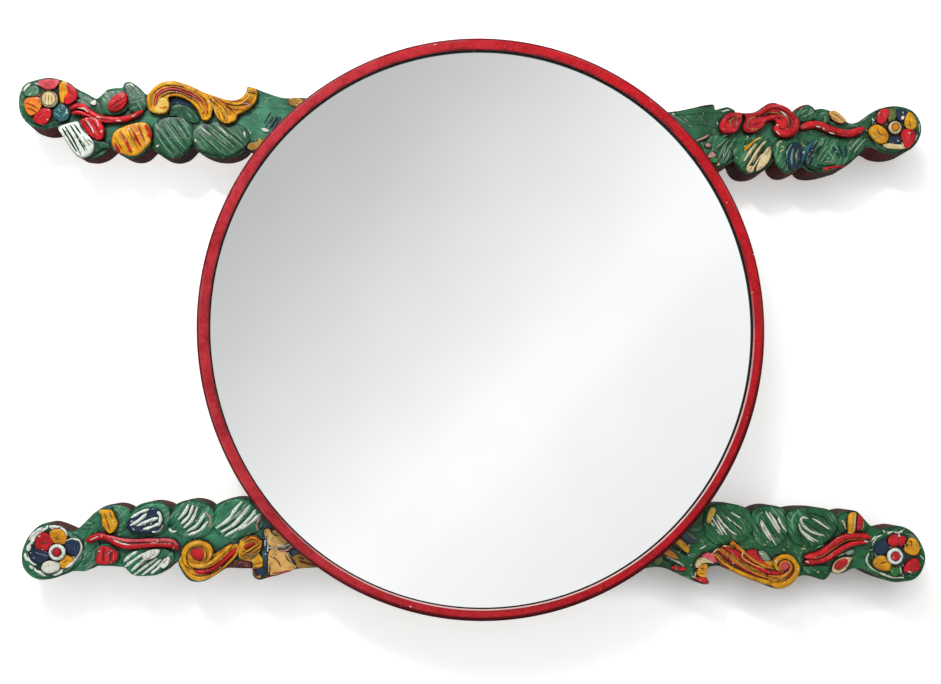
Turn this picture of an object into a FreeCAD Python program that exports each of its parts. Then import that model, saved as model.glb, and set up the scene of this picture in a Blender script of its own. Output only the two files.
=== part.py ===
import FreeCAD, Part
import math
import os

# A wall mirror: an oval glass in a narrow red hoop, carried by two carved and painted rails.
# +X runs to the viewer's right, +Y into the wall and +Z up. The front faces -Y.
# The origin lies on the wall, behind the middle of the hoop.

Vec = FreeCAD.Vector

# Hoop: a bent wooden ring with a rebate cut from the back
hoop_width = 800.0
hoop_height = 822.0
hoop_face_width = 17.0
hoop_depth = 14.0
hoop_edge_round = 4.0
hoop_inner_chamfer = 1.2
lip_cover = 6.0
lip_thickness = 6.0

# Glass, its black edging and the packing behind it
rebate_clearance = 0.5
edging_thickness = 1.5
edging_show = 1.0
glass_thickness = 4.0

# Backing board, screwed to the back of the hoop
board_thickness = 9.0
board_inset = 4.0
board_screw_count = 12
board_screw_diameter = 3.0
board_screw_head_diameter = 6.0
board_screw_length = 17.0

# Rails: two solid timbers with lobed and scrolled outlines
rail_overhang = 250.0
rail_thickness = 45.0
carving_height = 100.0
upper_rail_level_share = 0.744
lower_rail_level_share = -0.781

# Screws that run from the back of a rail, through the board and into the hoop
frame_screw_diameter = 4.0
frame_screw_head_diameter = 7.5
frame_screw_head_height = 2.6
frame_screw_crown_diameter = 5.0
frame_screw_bite = 9.0
counterbore_diameter = 9.5
counterbore_depth = 14.0
upper_screw_level_shares = (-0.06, -0.36)
lower_screw_level_shares = (0.14, 0.44)

# Raised carving on the faces of the rails: each raised form rises to a shoulder, then to a smaller crown
shoulder_rise_share = 0.6
shoulder_size_share = 0.9
crown_size_share = 0.5
petal_count = 6
petal_gap = 1.2
petal_height = 6.0
petal_reach_x_share = 0.059
petal_reach_z_share = 0.355
petal_shoulder_share = 0.86
button_diameter = 24.0
button_height = 9.0
button_rim_height = 3.0
button_peg_diameter = 8.0
button_peg_length = 14.0
stem_width = 9.0
stem_height = 6.0
leaf_height = 5.0
scroll_band_width = 8.0
scroll_band_height = 7.0
volute_radius = 18.0
volute_pitch = 11.0
volute_quarter_turns = 5
carving_trim_clearance = 0.4

# Strap hangers with folding rings on the back of the upper rail
hanger_offset_share = 0.36
hanger_level_share = 0.02
strap_width = 14.0
strap_length = 46.0
strap_thickness = 1.2
strap_corner_radius = 4.5
ring_wire_diameter = 2.6
ring_clearance = 0.1
ring_lift = 0.2
ring_loop_width = 24.0
ring_side_length = 2.0
ring_corner_radius = 3.0
strap_screw_diameter = 3.0
strap_screw_head_diameter = 6.4
strap_screw_head_height = 2.0
strap_screw_crown_diameter = 3.2
strap_screw_length = 15.0
strap_screw_margin = 8.0
strap_screw_ring_gap = 1.5

# Bumpers that hold the mirror parallel to the wall
bumper_diameter = 20.0
bumper_thickness = 8.0
bumper_edge_round = 1.5
bumper_offset_share = 0.80
bumper_level_share = 0.0

screw_clearance = 0.05
cut_overrun = 1.0
straight_bend = 1e-4
full_turn = 360

# Worked-out sizes
hoop_half_width = hoop_width / 2
hoop_half_height = hoop_height / 2
rail_half_length = hoop_half_width + rail_overhang
wall_width = hoop_face_width - lip_cover
rail_back = -bumper_thickness
rail_front = rail_back - rail_thickness
board_front = rail_front - board_thickness
hoop_front = board_front - hoop_depth
upper_level = hoop_half_height * upper_rail_level_share
lower_level = hoop_half_height * lower_rail_level_share
FORWARD, INTO_WALL = Vec(0, -1, 0), Vec(0, 1, 0)

# Outlines of the four carved arms, in shares of the rail's half length and of the carving's height.
# A row of two is a straight run to a point, a row of four an arc through one point to the next.
upper_left_start_share = (-0.525, -0.55)
upper_left_edge_shares = (
    (-0.575, -0.73, -0.640, -0.59),
    (-0.685, -0.74, -0.728, -0.60),
    (-0.774, -0.76, -0.815, -0.61),
    (-0.882, -0.78, -0.914, -0.52),
    (-0.920, -0.43, -0.932, -0.37),
    (-0.969, -0.38, -1.000, -0.26),
    (-1.015, 0.00, -1.000, 0.25),
    (-0.963, 0.36, -0.923, 0.32),
    (-0.897, 0.25, -0.871, 0.12),
    (-0.862, 0.08, -0.851, 0.07),
    (-0.828, 0.21, -0.795, 0.24),
    (-0.778, 0.34, -0.757, 0.24),
    (-0.751, 0.19, -0.742, 0.15),
    (-0.712, 0.34, -0.668, 0.34),
    (-0.615, 0.20, -0.558, 0.11),
    (-0.538, 0.16, -0.525, 0.32),
    (-0.480, 0.22, -0.445, 0.17),
)
upper_right_start_share = (0.563, -0.53)
upper_right_edge_shares = (
    (0.598, -0.72, 0.655, -0.51),
    (0.688, -0.70, 0.723, -0.60),
    (0.769, -0.68, 0.825, -0.56),
    (0.851, -0.43, 0.871, -0.28),
    (0.926, -0.37, 0.980, -0.25),
    (1.003, 0.02, 0.980, 0.29),
    (0.935, 0.38, 0.880, 0.24),
    (0.857, 0.12, 0.831, 0.09),
    (0.794, 0.26, 0.752, 0.27),
    (0.728, 0.34, 0.695, 0.23),
    (0.657, 0.36, 0.611, 0.20),
    (0.588, 0.17, 0.565, 0.20),
    (0.545, 0.27, 0.518, 0.22),
    (0.517, 0.29),
    (0.477, 0.25, 0.438, 0.19),
)
lower_left_start_share = (-0.489, 0.64)
lower_left_edge_shares = (
    (-0.534, 0.74, -0.580, 0.59),
    (-0.623, 0.70, -0.666, 0.59),
    (-0.709, 0.68, -0.752, 0.53),
    (-0.806, 0.62, -0.858, 0.31),
    (-0.869, 0.27, -0.882, 0.28),
    (-0.928, 0.38, -0.962, 0.22),
    (-0.982, -0.08, -0.965, -0.33),
    (-0.931, -0.43, -0.882, -0.31),
    (-0.862, -0.28, -0.840, -0.29),
    (-0.832, -0.24, -0.815, -0.22),
    (-0.769, -0.24),
    (-0.735, -0.37, -0.689, -0.33),
    (-0.672, -0.24, -0.654, -0.15),
    (-0.634, -0.38, -0.611, -0.44),
    (-0.571, -0.36, -0.531, -0.16),
    (-0.494, -0.17),
    (-0.492, -0.36, -0.475, -0.41),
    (-0.426, -0.30, -0.377, -0.24),
)
lower_right_start_share = (0.514, 0.67)
lower_right_edge_shares = (
    (0.554, 0.72, 0.600, 0.59),
    (0.640, 0.70, 0.678, 0.61),
    (0.735, 0.69, 0.797, 0.54),
    (0.832, 0.63, 0.871, 0.44),
    (0.880, 0.38, 0.892, 0.36),
    (0.942, 0.42, 0.988, 0.23),
    (1.008, -0.08, 0.985, -0.33),
    (0.938, -0.43, 0.875, -0.28),
    (0.855, -0.22, 0.832, -0.22),
    (0.809, -0.31, 0.788, -0.25),
    (0.768, -0.39, 0.715, -0.33),
    (0.671, -0.52, 0.617, -0.41),
    (0.577, -0.32, 0.537, -0.19),
    (0.518, -0.20, 0.503, -0.27),
    (0.509, -0.43),
    (0.489, -0.44),
    (0.403, -0.22),
)

# Raised leaves: base point, tip point, and the belly as a share of the leaf's length
upper_left_leaf_shares = (
    (-0.825, -0.09, -0.788, 0.19, 0.25),
    (-0.877, -0.32, -0.838, -0.42, 0.30),
    (-0.918, -0.38, -0.865, -0.70, 0.22),
    (-0.743, -0.32, -0.792, -0.66, 0.30),
    (-0.654, -0.27, -0.703, -0.62, 0.28),
    (-0.557, -0.27, -0.612, -0.62, 0.28),
)
upper_right_leaf_shares = (
    (0.783, 0.12, 0.822, 0.18, 0.20),
    (0.645, -0.22, 0.592, -0.64, 0.25),
    (0.715, -0.25, 0.686, -0.62, 0.25),
    (0.765, -0.25, 0.738, -0.60, 0.25),
    (0.828, -0.20, 0.792, -0.54, 0.22),
)
lower_left_leaf_shares = (
    (-0.811, 0.29, -0.786, 0.54, 0.25),
    (-0.825, 0.03, -0.785, -0.14, 0.25),
    (-0.758, 0.22, -0.688, 0.56, 0.22),
    (-0.760, -0.26, -0.677, -0.08, 0.18),
    (-0.648, 0.22, -0.605, 0.60, 0.22),
    (-0.569, 0.22, -0.508, 0.62, 0.20),
)
lower_right_leaf_shares = (
    (0.832, 0.33, 0.846, 0.57, 0.25),
    (0.826, -0.05, 0.791, -0.24, 0.25),
    (0.720, 0.20, 0.778, 0.52, 0.22),
    (0.628, 0.20, 0.665, 0.58, 0.22),
    (0.520, 0.28, 0.577, 0.60, 0.22),
)

# Short fingers and tufts beside each scroll, in the same form as the leaves
upper_left_finger_shares = (
    (-0.605, -0.08, -0.628, -0.22, 0.25),
    (-0.563, -0.10, -0.585, -0.24, 0.25),
    (-0.542, -0.06, -0.517, 0.27, 0.20),
    (-0.505, -0.08, -0.480, 0.16, 0.25),
    (-0.474, -0.26, -0.452, -0.08, 0.30),
    (-0.520, -0.50, -0.489, -0.48, 0.25),
    (-0.437, 0.04, -0.409, 0.10, 0.30),
)
upper_right_finger_shares = (
    (0.538, 0.00, 0.551, -0.18, 0.25),
    (0.582, -0.05, 0.606, -0.16, 0.25),
    (0.495, 0.20, 0.462, 0.16, 0.25),
    (0.520, -0.30, 0.489, -0.40, 0.25),
    (0.505, 0.04, 0.471, -0.06, 0.25),
)
lower_left_finger_shares = (
    (-0.495, -0.14, -0.480, 0.18, 0.30),
    (-0.462, 0.22, -0.425, 0.06, 0.30),
    (-0.446, -0.28, -0.409, -0.12, 0.30),
    (-0.542, 0.14, -0.517, 0.24, 0.25),
)
lower_right_finger_shares = (
    (0.585, 0.03, 0.622, 0.04, 0.25),
    (0.489, -0.38, 0.502, -0.10, 0.25),
    (0.437, 0.10, 0.465, 0.22, 0.30),
    (0.418, -0.06, 0.446, -0.02, 0.30),
    (0.429, -0.26, 0.457, -0.22, 0.30),
)

# Stems that wind from each rosette to its scroll
upper_left_stem_shares = ((-0.883, -0.06), (-0.849, -0.17), (-0.809, -0.25), (-0.772, -0.19), (-0.748, -0.08))
upper_right_stem_shares = ((0.872, 0.01), (0.835, -0.08), (0.797, -0.04), (0.762, 0.04), (0.723, -0.01))
lower_left_stem_shares = (
    (-0.835, 0.12), (-0.808, 0.20), (-0.774, 0.09), (-0.735, 0.07), (-0.692, 0.10), (-0.657, 0.08),
)
lower_right_stem_shares = ((0.863, 0.25), (0.828, 0.21), (0.795, 0.07), (0.762, -0.05), (0.723, -0.10))

# Scrolls: the middle of the volute, the points that its band runs out through,
# where round the middle the coil starts, in degrees from +X, and which way it rolls up
upper_left_volute_share = (-0.705, 0.08)
upper_left_band_shares = ((-0.662, 0.24), (-0.612, 0.09), (-0.563, 0.01))
upper_left_coil_degrees = 60
upper_left_coil_hand = 1
upper_right_volute_share = (0.677, 0.06)
upper_right_band_shares = ((0.631, 0.18), (0.591, 0.06), (0.548, 0.10))
upper_right_coil_degrees = 120
upper_right_coil_hand = -1
lower_left_volute_share = (-0.608, -0.05)
lower_left_band_shares = ((-0.577, -0.26), (-0.542, -0.08), (-0.520, 0.06))
lower_left_coil_degrees = 250
lower_left_coil_hand = -1
lower_right_volute_share = (0.677, -0.16)
lower_right_band_shares = ((0.643, -0.33), (0.592, -0.14), (0.538, 0.04))
lower_right_coil_degrees = 290
lower_right_coil_hand = 1

# Middles of the four rosettes
upper_left_rosette_share = (-0.949, 0.05)
upper_right_rosette_share = (0.940, 0.05)
lower_left_rosette_share = (-0.905, -0.03)
lower_right_rosette_share = (0.936, -0.03)


def place(level, x_share, z_share, y=rail_front):
    """A point given in shares of the rail's half length and of the carving's height."""
    return Vec(rail_half_length * x_share, y, level + carving_height * z_share)


def oval_face(half_width, half_height, y):
    """A flat oval, square to Y, about the middle of the hoop."""
    middle = Vec(0, y, 0)
    side, top = Vec(half_width, y, 0), Vec(0, y, half_height)
    long_point, short_point = (top, side) if half_height > half_width else (side, top)
    return Part.Face(Part.Wire([Part.Ellipse(long_point, short_point, middle).toShape()]))


def oval_plate(inset, front, back):
    """An oval plate between two depths, its edge inset from the outside of the hoop."""
    face = oval_face(hoop_half_width - inset, hoop_half_height - inset, front)
    return face.extrude(INTO_WALL * (back - front))


def hoop_wall_x(z):
    """How far out the middle of the hoop's outer wall lies at a height."""
    reach_x = hoop_half_width - wall_width / 2
    reach_z = hoop_half_height - wall_width / 2
    return reach_x * math.sqrt(1 - (z / reach_z) ** 2)


def rod(diameter, start, direction, length):
    """A round bar from a point along a direction."""
    return Part.makeCylinder(diameter / 2, length, start, direction)


# Hoop and what it holds
def hoop_frame():
    """The ring: rounded outside edge, small inner chamfer, rebate from the back, pilot holes."""
    ring = oval_plate(0, hoop_front, board_front)
    front_edges = [e for e in ring.Edges if e.Closed and e.CenterOfMass.y < hoop_front + hoop_depth / 2]
    ring = ring.makeFillet(hoop_edge_round, front_edges)
    opening = oval_plate(hoop_face_width, hoop_front - cut_overrun, board_front + cut_overrun)
    rebate = oval_plate(wall_width, hoop_front + lip_thickness, board_front + cut_overrun)
    ring = ring.cut(opening).cut(rebate)
    wide = oval_face(
        hoop_half_width - hoop_face_width + hoop_inner_chamfer,
        hoop_half_height - hoop_face_width + hoop_inner_chamfer,
        hoop_front,
    )
    narrow = oval_face(
        hoop_half_width - hoop_face_width, hoop_half_height - hoop_face_width, hoop_front + hoop_inner_chamfer
    )
    ring = ring.cut(Part.makeLoft([wide.OuterWire, narrow.OuterWire], True, True))
    for spot in board_screw_spots():
        start = Vec(spot.x, board_front + cut_overrun, spot.z)
        length = board_screw_length - board_thickness + cut_overrun
        ring = ring.cut(rod(board_screw_diameter + 2 * screw_clearance, start, FORWARD, length))
    for spot in frame_screw_spots():
        start = Vec(spot.x, board_front + cut_overrun, spot.z)
        length = frame_screw_bite + cut_overrun
        ring = ring.cut(rod(frame_screw_diameter + 2 * screw_clearance, start, FORWARD, length))
    return ring


def edging_ring():
    """The black edging between the lip and the glass, which shows as a thin line inside the lip."""
    front = hoop_front + lip_thickness
    back = front + edging_thickness
    ring = oval_plate(wall_width + rebate_clearance, front, back)
    return ring.cut(oval_plate(hoop_face_width + edging_show, front - cut_overrun, back + cut_overrun))


def mirror_glass():
    """The flat mirror glass, a little smaller than the rebate."""
    front = hoop_front + lip_thickness + edging_thickness
    return oval_plate(wall_width + rebate_clearance, front, front + glass_thickness)


def glass_packing():
    """The soft sheet that fills the rebate between the glass and the board."""
    front = hoop_front + lip_thickness + edging_thickness + glass_thickness
    return oval_plate(wall_width + rebate_clearance, front, board_front)


# Screws
def board_screw_spots():
    """Places round the hoop's wall, on the board's back, between the rails' own screws."""
    reach_x = hoop_half_width - wall_width / 2
    reach_z = hoop_half_height - wall_width / 2
    turns = [2 * math.pi * n / board_screw_count for n in range(board_screw_count)]
    return [Vec(reach_x * math.sin(t), rail_front, reach_z * math.cos(t)) for t in turns]


def frame_screw_spots():
    """Two places at each crossing of a rail and the hoop's wall, on the rail's back."""
    heights = [upper_level + carving_height * s for s in upper_screw_level_shares]
    heights += [lower_level + carving_height * s for s in lower_screw_level_shares]
    return [Vec(side * hoop_wall_x(z), rail_back, z) for z in heights for side in (-1, 1)]


def countersunk_cone(diameter, head_diameter, start, direction):
    """The cone under a countersunk head, flush at its wide end."""
    depth = (head_diameter - diameter) / 2
    return Part.makeCone(head_diameter / 2, diameter / 2, depth, start, direction)


def board_screws():
    """Countersunk screws, flush with the back of the board."""
    screws = []
    for spot in board_screw_spots():
        shank = rod(board_screw_diameter, spot, FORWARD, board_screw_length)
        head = countersunk_cone(board_screw_diameter, board_screw_head_diameter, spot, FORWARD)
        screws.append(shank.fuse(head).removeSplitter())
    return Part.makeCompound(screws)


def frame_screw(spot):
    """One long screw: a button head on the counterbore's floor and a plain shank."""
    seat = Vec(spot.x, rail_back - counterbore_depth, spot.z)
    length = rail_thickness - counterbore_depth + board_thickness + frame_screw_bite
    shank = rod(frame_screw_diameter, seat, FORWARD, length)
    rim, crown = frame_screw_head_diameter / 2, frame_screw_crown_diameter / 2
    head = Part.makeCone(rim, crown, frame_screw_head_height, seat, INTO_WALL)
    return shank.fuse(head).removeSplitter()


def frame_screws():
    return Part.makeCompound([frame_screw(spot) for spot in frame_screw_spots()])


def backing_board():
    """The oval plywood board, countersunk for its own screws and bored for the rails' screws."""
    board = oval_plate(board_inset, board_front, rail_front)
    room = 2 * screw_clearance
    for spot in board_screw_spots():
        start = spot + INTO_WALL * cut_overrun
        board = board.cut(rod(board_screw_diameter + room, start, FORWARD, board_thickness + 2 * cut_overrun))
        cone = countersunk_cone(board_screw_diameter + room, board_screw_head_diameter + room, spot, FORWARD)
        board = board.cut(cone)
    for spot in frame_screw_spots():
        start = Vec(spot.x, rail_front + cut_overrun, spot.z)
        board = board.cut(rod(frame_screw_diameter + room, start, FORWARD, board_thickness + 2 * cut_overrun))
    return board


# Rails
def edge_run(level, start_share, edge_shares):
    """The edges of one carved arm, from its first point to its last."""
    here = place(level, *start_share)
    edges = []
    for row in edge_shares:
        there = place(level, *row[-2:])
        if len(row) == 4:
            edges.append(Part.Arc(here, place(level, *row[:2]), there).toShape())
        else:
            edges.append(Part.LineSegment(here, there).toShape())
        here = there
    return edges, here


def rail(level, left_start, left_edges, right_start, right_edges, level_shares):
    """A rail cut to its outline, with holes for the screws that run into the hoop."""
    left, left_end = edge_run(level, left_start, left_edges)
    right, right_end = edge_run(level, right_start, right_edges)
    across = Part.LineSegment(left_end, right_end).toShape()
    back_across = Part.LineSegment(place(level, *right_start), place(level, *left_start)).toShape()
    outline = Part.Wire(Part.__sortEdges__(left + [across] + right + [back_across]))
    body = Part.Face(outline).extrude(INTO_WALL * rail_thickness)
    for share in level_shares:
        z = level + carving_height * share
        for side in (-1, 1):
            mouth = Vec(side * hoop_wall_x(z), rail_back + cut_overrun, z)
            hole = rod(frame_screw_diameter + 2 * screw_clearance, mouth, FORWARD, rail_thickness + 2 * cut_overrun)
            bore = rod(counterbore_diameter, mouth, FORWARD, counterbore_depth + cut_overrun)
            body = body.cut(hole).cut(bore)
    return body


def bore_peg_holes(body, level, rosette_shares):
    """Sockets in the rail's face for the pegs of the rosettes' buttons."""
    for share in rosette_shares:
        middle = place(level, *share) + FORWARD * cut_overrun
        diameter = button_peg_diameter + 2 * screw_clearance
        body = body.cut(rod(diameter, middle, INTO_WALL, button_peg_length + cut_overrun + screw_clearance))
    return body


def upper_rail():
    body = rail(
        upper_level, upper_left_start_share, upper_left_edge_shares,
        upper_right_start_share, upper_right_edge_shares, upper_screw_level_shares,
    )
    body = bore_peg_holes(body, upper_level, (upper_left_rosette_share, upper_right_rosette_share))
    for side in (-1, 1):
        for spot in strap_screw_spots(side):
            start = Vec(spot.x, rail_back + cut_overrun, spot.z)
            length = strap_screw_length - strap_thickness + cut_overrun
            body = body.cut(rod(strap_screw_diameter + 2 * screw_clearance, start, FORWARD, length))
    return body


def lower_rail():
    body = rail(
        lower_level, lower_left_start_share, lower_left_edge_shares,
        lower_right_start_share, lower_right_edge_shares, lower_screw_level_shares,
    )
    return bore_peg_holes(body, lower_level, (lower_left_rosette_share, lower_right_rosette_share))


# Raised carving
def domed(outline, height):
    """A raised form on the rail's face: its outline drawn in towards the top in two steps."""
    middle = outline.BoundBox.Center
    levels = [outline]
    for rise_share, size_share in ((shoulder_rise_share, shoulder_size_share), (1, crown_size_share)):
        ring = outline.copy()
        ring.scale(size_share, middle)
        ring.translate(FORWARD * (height * rise_share))
        levels.append(ring)
    return Part.makeLoft(levels, True, True)


def leaf(level, base_x, base_z, tip_x, tip_z, belly_share):
    """A pointed leaf between two arcs."""
    base, tip = place(level, base_x, base_z), place(level, tip_x, tip_z)
    along = tip - base
    across = Vec(-along.z, 0, along.x) * belly_share
    middle = (base + tip) / 2
    sides = [Part.Arc(base, middle + across, tip).toShape(), Part.Arc(tip, middle - across, base).toShape()]
    return domed(Part.Wire(sides), leaf_height)


def petal(level, centre_share, number):
    """One petal: straight sides beside its neighbours, a round end, hollowed for the button."""
    centre = place(level, *centre_share)
    reach_x, reach_z = rail_half_length * petal_reach_x_share, carving_height * petal_reach_z_share
    inner = button_diameter / 2 + petal_gap
    facing = math.pi * (2 * number + 1) / petal_count
    half = math.pi / petal_count

    def rim(angle, share, gap_side=0):
        slip = Vec(-math.sin(facing), 0, math.cos(facing)) * (gap_side * petal_gap / 2)
        return centre + Vec(reach_x * share * math.cos(angle), 0, reach_z * share * math.sin(angle)) + slip

    def hub(angle, gap_side=0):
        slip = Vec(-math.sin(facing), 0, math.cos(facing)) * (gap_side * petal_gap / 2)
        return centre + Vec(inner * math.cos(angle), 0, inner * math.sin(angle)) + slip

    shoulder_1 = rim(facing - half, petal_shoulder_share, 1)
    shoulder_2 = rim(facing + half, petal_shoulder_share, -1)
    hub_1, hub_2 = hub(facing - half, 1), hub(facing + half, -1)
    edges = [
        Part.LineSegment(hub_1, shoulder_1).toShape(),
        Part.Arc(shoulder_1, rim(facing, 1.0), shoulder_2).toShape(),
        Part.LineSegment(shoulder_2, hub_2).toShape(),
        Part.Arc(hub_2, hub(facing), hub_1).toShape(),
    ]
    return domed(Part.Wire(edges), petal_height)


def petals(level, centre_share):
    return Part.makeCompound([petal(level, centre_share, number) for number in range(petal_count)])


def button(level, centre_share):
    """A turned button with a peg that goes into the rail."""
    radius = button_diameter / 2
    dome = button_height - button_rim_height
    ball = (radius ** 2 + dome ** 2) / (2 * dome)
    half_angle = math.asin(radius / ball) / 2
    rim, crown = Vec(radius, -button_rim_height, 0), Vec(0, -button_height, 0)
    shoulder = crown + Vec(ball * math.sin(half_angle), ball * (1 - math.cos(half_angle)), 0)
    peg_end = Vec(0, button_peg_length, 0)
    peg_side = Vec(button_peg_diameter / 2, 0, 0)
    corners = [crown, peg_end, peg_end + peg_side, peg_side, Vec(radius, 0, 0), rim]
    sides = [Part.LineSegment(a, b).toShape() for a, b in zip(corners, corners[1:])]
    sides.append(Part.Arc(rim, shoulder, crown).toShape())
    turned = Part.Face(Part.Wire(sides)).revolve(Vec(0, 0, 0), INTO_WALL, full_turn)
    turned.translate(place(level, *centre_share))
    return turned


def mirrored(direction, chord):
    """A direction reflected about a chord, as an arc's two end tangents are."""
    return (chord * (2 * chord.dot(direction) / chord.dot(chord)) - direction).normalize()


def tangent_arc(start, direction, end):
    """The arc that leaves a point along a direction and ends at another, and its direction there."""
    chord = end - start
    cross = direction.z * chord.x - direction.x * chord.z
    bend = math.tan(math.atan2(cross, direction.dot(chord)) / 2)
    if abs(bend) < straight_bend:
        edge = Part.LineSegment(start, end).toShape()
    else:
        across = Vec(-chord.z, 0, chord.x) * (bend / 2)
        edge = Part.Arc(start, (start + end) / 2 + across, end).toShape()
    return edge, mirrored(direction, chord)


def half_round(path, width, height):
    """A half-round moulding that follows a flat path on the rail's face."""
    first = path.Edges[0]
    start, along = first.valueAt(first.FirstParameter), first.tangentAt(first.FirstParameter)
    across = Vec(-along.z, 0, along.x) * (width / 2)
    crown = start + FORWARD * height
    section = Part.Wire([
        Part.Arc(start - across, crown, start + across).toShape(),
        Part.LineSegment(start + across, start - across).toShape(),
    ])
    return path.makePipeShell([section], True, False)


def path_through(points, direction):
    """A flat path of tangent arcs through points, leaving the first along a direction."""
    edges = []
    for start, end in zip(points, points[1:]):
        edge, direction = tangent_arc(start, direction, end)
        edges.append(edge)
    return edges


def stem(level, stem_shares):
    """The winding stem between a rosette and its scroll."""
    points = [place(level, *share) for share in stem_shares]
    direction = mirrored((points[2] - points[0]).normalize(), points[1] - points[0])
    return half_round(Part.Wire(path_through(points, direction)), stem_width, stem_height)


def scroll(level, centre_share, band_shares, start_degrees, hand):
    """A band that runs in from the hoop and rolls up into a volute of quarter-turn arcs."""
    centre = place(level, *centre_share)
    angle = math.radians(start_degrees)
    radius = volute_radius
    outward = Vec(math.cos(angle), 0, math.sin(angle))
    start = centre + outward * radius
    leaving = Vec(math.sin(angle), 0, -math.cos(angle)) * hand
    band = path_through([start] + [place(level, *share) for share in band_shares], leaving)
    coil = []
    for quarter in range(volute_quarter_turns):
        middle, end = angle + hand * math.pi / 4, angle + hand * math.pi / 2
        via = centre + Vec(math.cos(middle), 0, math.sin(middle)) * radius
        finish = centre + Vec(math.cos(end), 0, math.sin(end)) * radius
        coil.append(Part.Arc(start, via, finish).toShape())
        smaller = radius - volute_pitch / 4
        centre = centre + Vec(math.cos(end), 0, math.sin(end)) * (radius - smaller)
        start, angle, radius = finish, end, smaller
    path = Part.Wire(Part.__sortEdges__(band + coil))
    return half_round(path, scroll_band_width, scroll_band_height)


def clear_of_hoop(pieces):
    """Raised pieces cut back where they would run under the hoop."""
    under = oval_plate(-carving_trim_clearance, hoop_front, rail_front + cut_overrun)
    kept = []
    for piece in pieces:
        kept.extend(piece.cut(under).Solids)
    return Part.makeCompound(kept)


def leaves(level, leaf_shares):
    return clear_of_hoop([leaf(level, *row) for row in leaf_shares])


def scroll_group(level, centre_share, band_shares, start_degrees, hand, finger_shares):
    """A scroll with the fingers and tufts that spring from it."""
    pieces = [scroll(level, centre_share, band_shares, start_degrees, hand)]
    pieces += [leaf(level, *row) for row in finger_shares]
    return clear_of_hoop(pieces)


# Hangers and bumpers
knuckle_radius = ring_wire_diameter / 2 + ring_clearance + strap_thickness
knuckle_y = rail_back + ring_lift + knuckle_radius
ring_reach = ring_corner_radius + ring_side_length + ring_loop_width / 2 + ring_wire_diameter / 2


def hanger_knuckle(side):
    """The middle of a hanger's knuckle, which is the ring's hinge."""
    point = place(upper_level, side * hanger_offset_share, hanger_level_share)
    return Vec(point.x, knuckle_y, point.z)


def strap_screw_spots(side):
    """The two screws of one strap, below its knuckle."""
    knuckle = hanger_knuckle(side)
    lowest = knuckle.z - strap_length + strap_screw_margin
    highest = knuckle.z - ring_reach - strap_screw_ring_gap - strap_screw_head_diameter / 2
    return [Vec(knuckle.x, rail_back + strap_thickness, z) for z in (highest, lowest)]


def hanger_strap(side):
    """A steel strap folded round the ring's bar, with two screw holes."""
    knuckle = hanger_knuckle(side)
    left = knuckle.x - strap_width / 2
    plate = Part.makeBox(strap_width, strap_thickness, strap_length, Vec(left, rail_back, knuckle.z - strap_length))
    low_edges = [e for e in plate.Edges if e.CenterOfMass.z < knuckle.z - strap_length / 2]
    edges = [e for e in low_edges if e.BoundBox.YLength > strap_thickness / 2]
    plate = plate.makeFillet(strap_corner_radius, edges)
    along = Vec(1, 0, 0)
    fold = rod(2 * knuckle_radius, Vec(left, knuckle.y, knuckle.z), along, strap_width)
    body = plate.fuse(fold)
    bore_start = Vec(left - cut_overrun, knuckle.y, knuckle.z)
    body = body.cut(rod(ring_wire_diameter + 2 * ring_clearance, bore_start, along, strap_width + 2 * cut_overrun))
    for spot in strap_screw_spots(side):
        start = spot + INTO_WALL * cut_overrun
        length = strap_thickness + 2 * cut_overrun
        body = body.cut(rod(strap_screw_diameter + 2 * screw_clearance, start, FORWARD, length))
    return body.removeSplitter()


def hanger_ring(side):
    """A D-shaped wire ring: a straight bar in the knuckle and a round loop hanging below."""
    knuckle = hanger_knuckle(side)
    half = ring_loop_width / 2
    corner = ring_corner_radius
    turn = corner * (1 - math.cos(math.pi / 4))

    def at(x, z):
        return Vec(knuckle.x + x, knuckle.y, knuckle.z + z)

    low = -corner - ring_side_length
    edges = [
        Part.LineSegment(at(corner - half, 0), at(half - corner, 0)).toShape(),
        Part.Arc(at(half - corner, 0), at(half - turn, -turn), at(half, -corner)).toShape(),
        Part.LineSegment(at(half, -corner), at(half, low)).toShape(),
        Part.Arc(at(half, low), at(0, low - half), at(-half, low)).toShape(),
        Part.LineSegment(at(-half, low), at(-half, -corner)).toShape(),
        Part.Arc(at(-half, -corner), at(turn - half, -turn), at(corner - half, 0)).toShape(),
    ]
    path = Part.Wire(edges)
    section = Part.Wire([Part.makeCircle(ring_wire_diameter / 2, at(corner - half, 0), Vec(1, 0, 0))])
    return path.makePipeShell([section], True, False)


def hanger_screws():
    """Round-headed screws through the straps into the upper rail."""
    screws = []
    for side in (-1, 1):
        for spot in strap_screw_spots(side):
            shank = rod(strap_screw_diameter, spot, FORWARD, strap_screw_length)
            rim, crown = strap_screw_head_diameter / 2, strap_screw_crown_diameter / 2
            head = Part.makeCone(rim, crown, strap_screw_head_height, spot, INTO_WALL)
            screws.append(shank.fuse(head).removeSplitter())
    return Part.makeCompound(screws)


def bumper_pads():
    """Round rubber pads on the back of the lower rail, which rest on the wall."""
    pads = []
    for side in (-1, 1):
        point = place(lower_level, side * bumper_offset_share, bumper_level_share, rail_back)
        pad = rod(bumper_diameter, point, INTO_WALL, bumper_thickness)
        rim = [e for e in pad.Edges if e.CenterOfMass.y > -bumper_thickness / 2 and e.Closed]
        pads.append(pad.makeFillet(bumper_edge_round, rim))
    return Part.makeCompound(pads)


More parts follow.
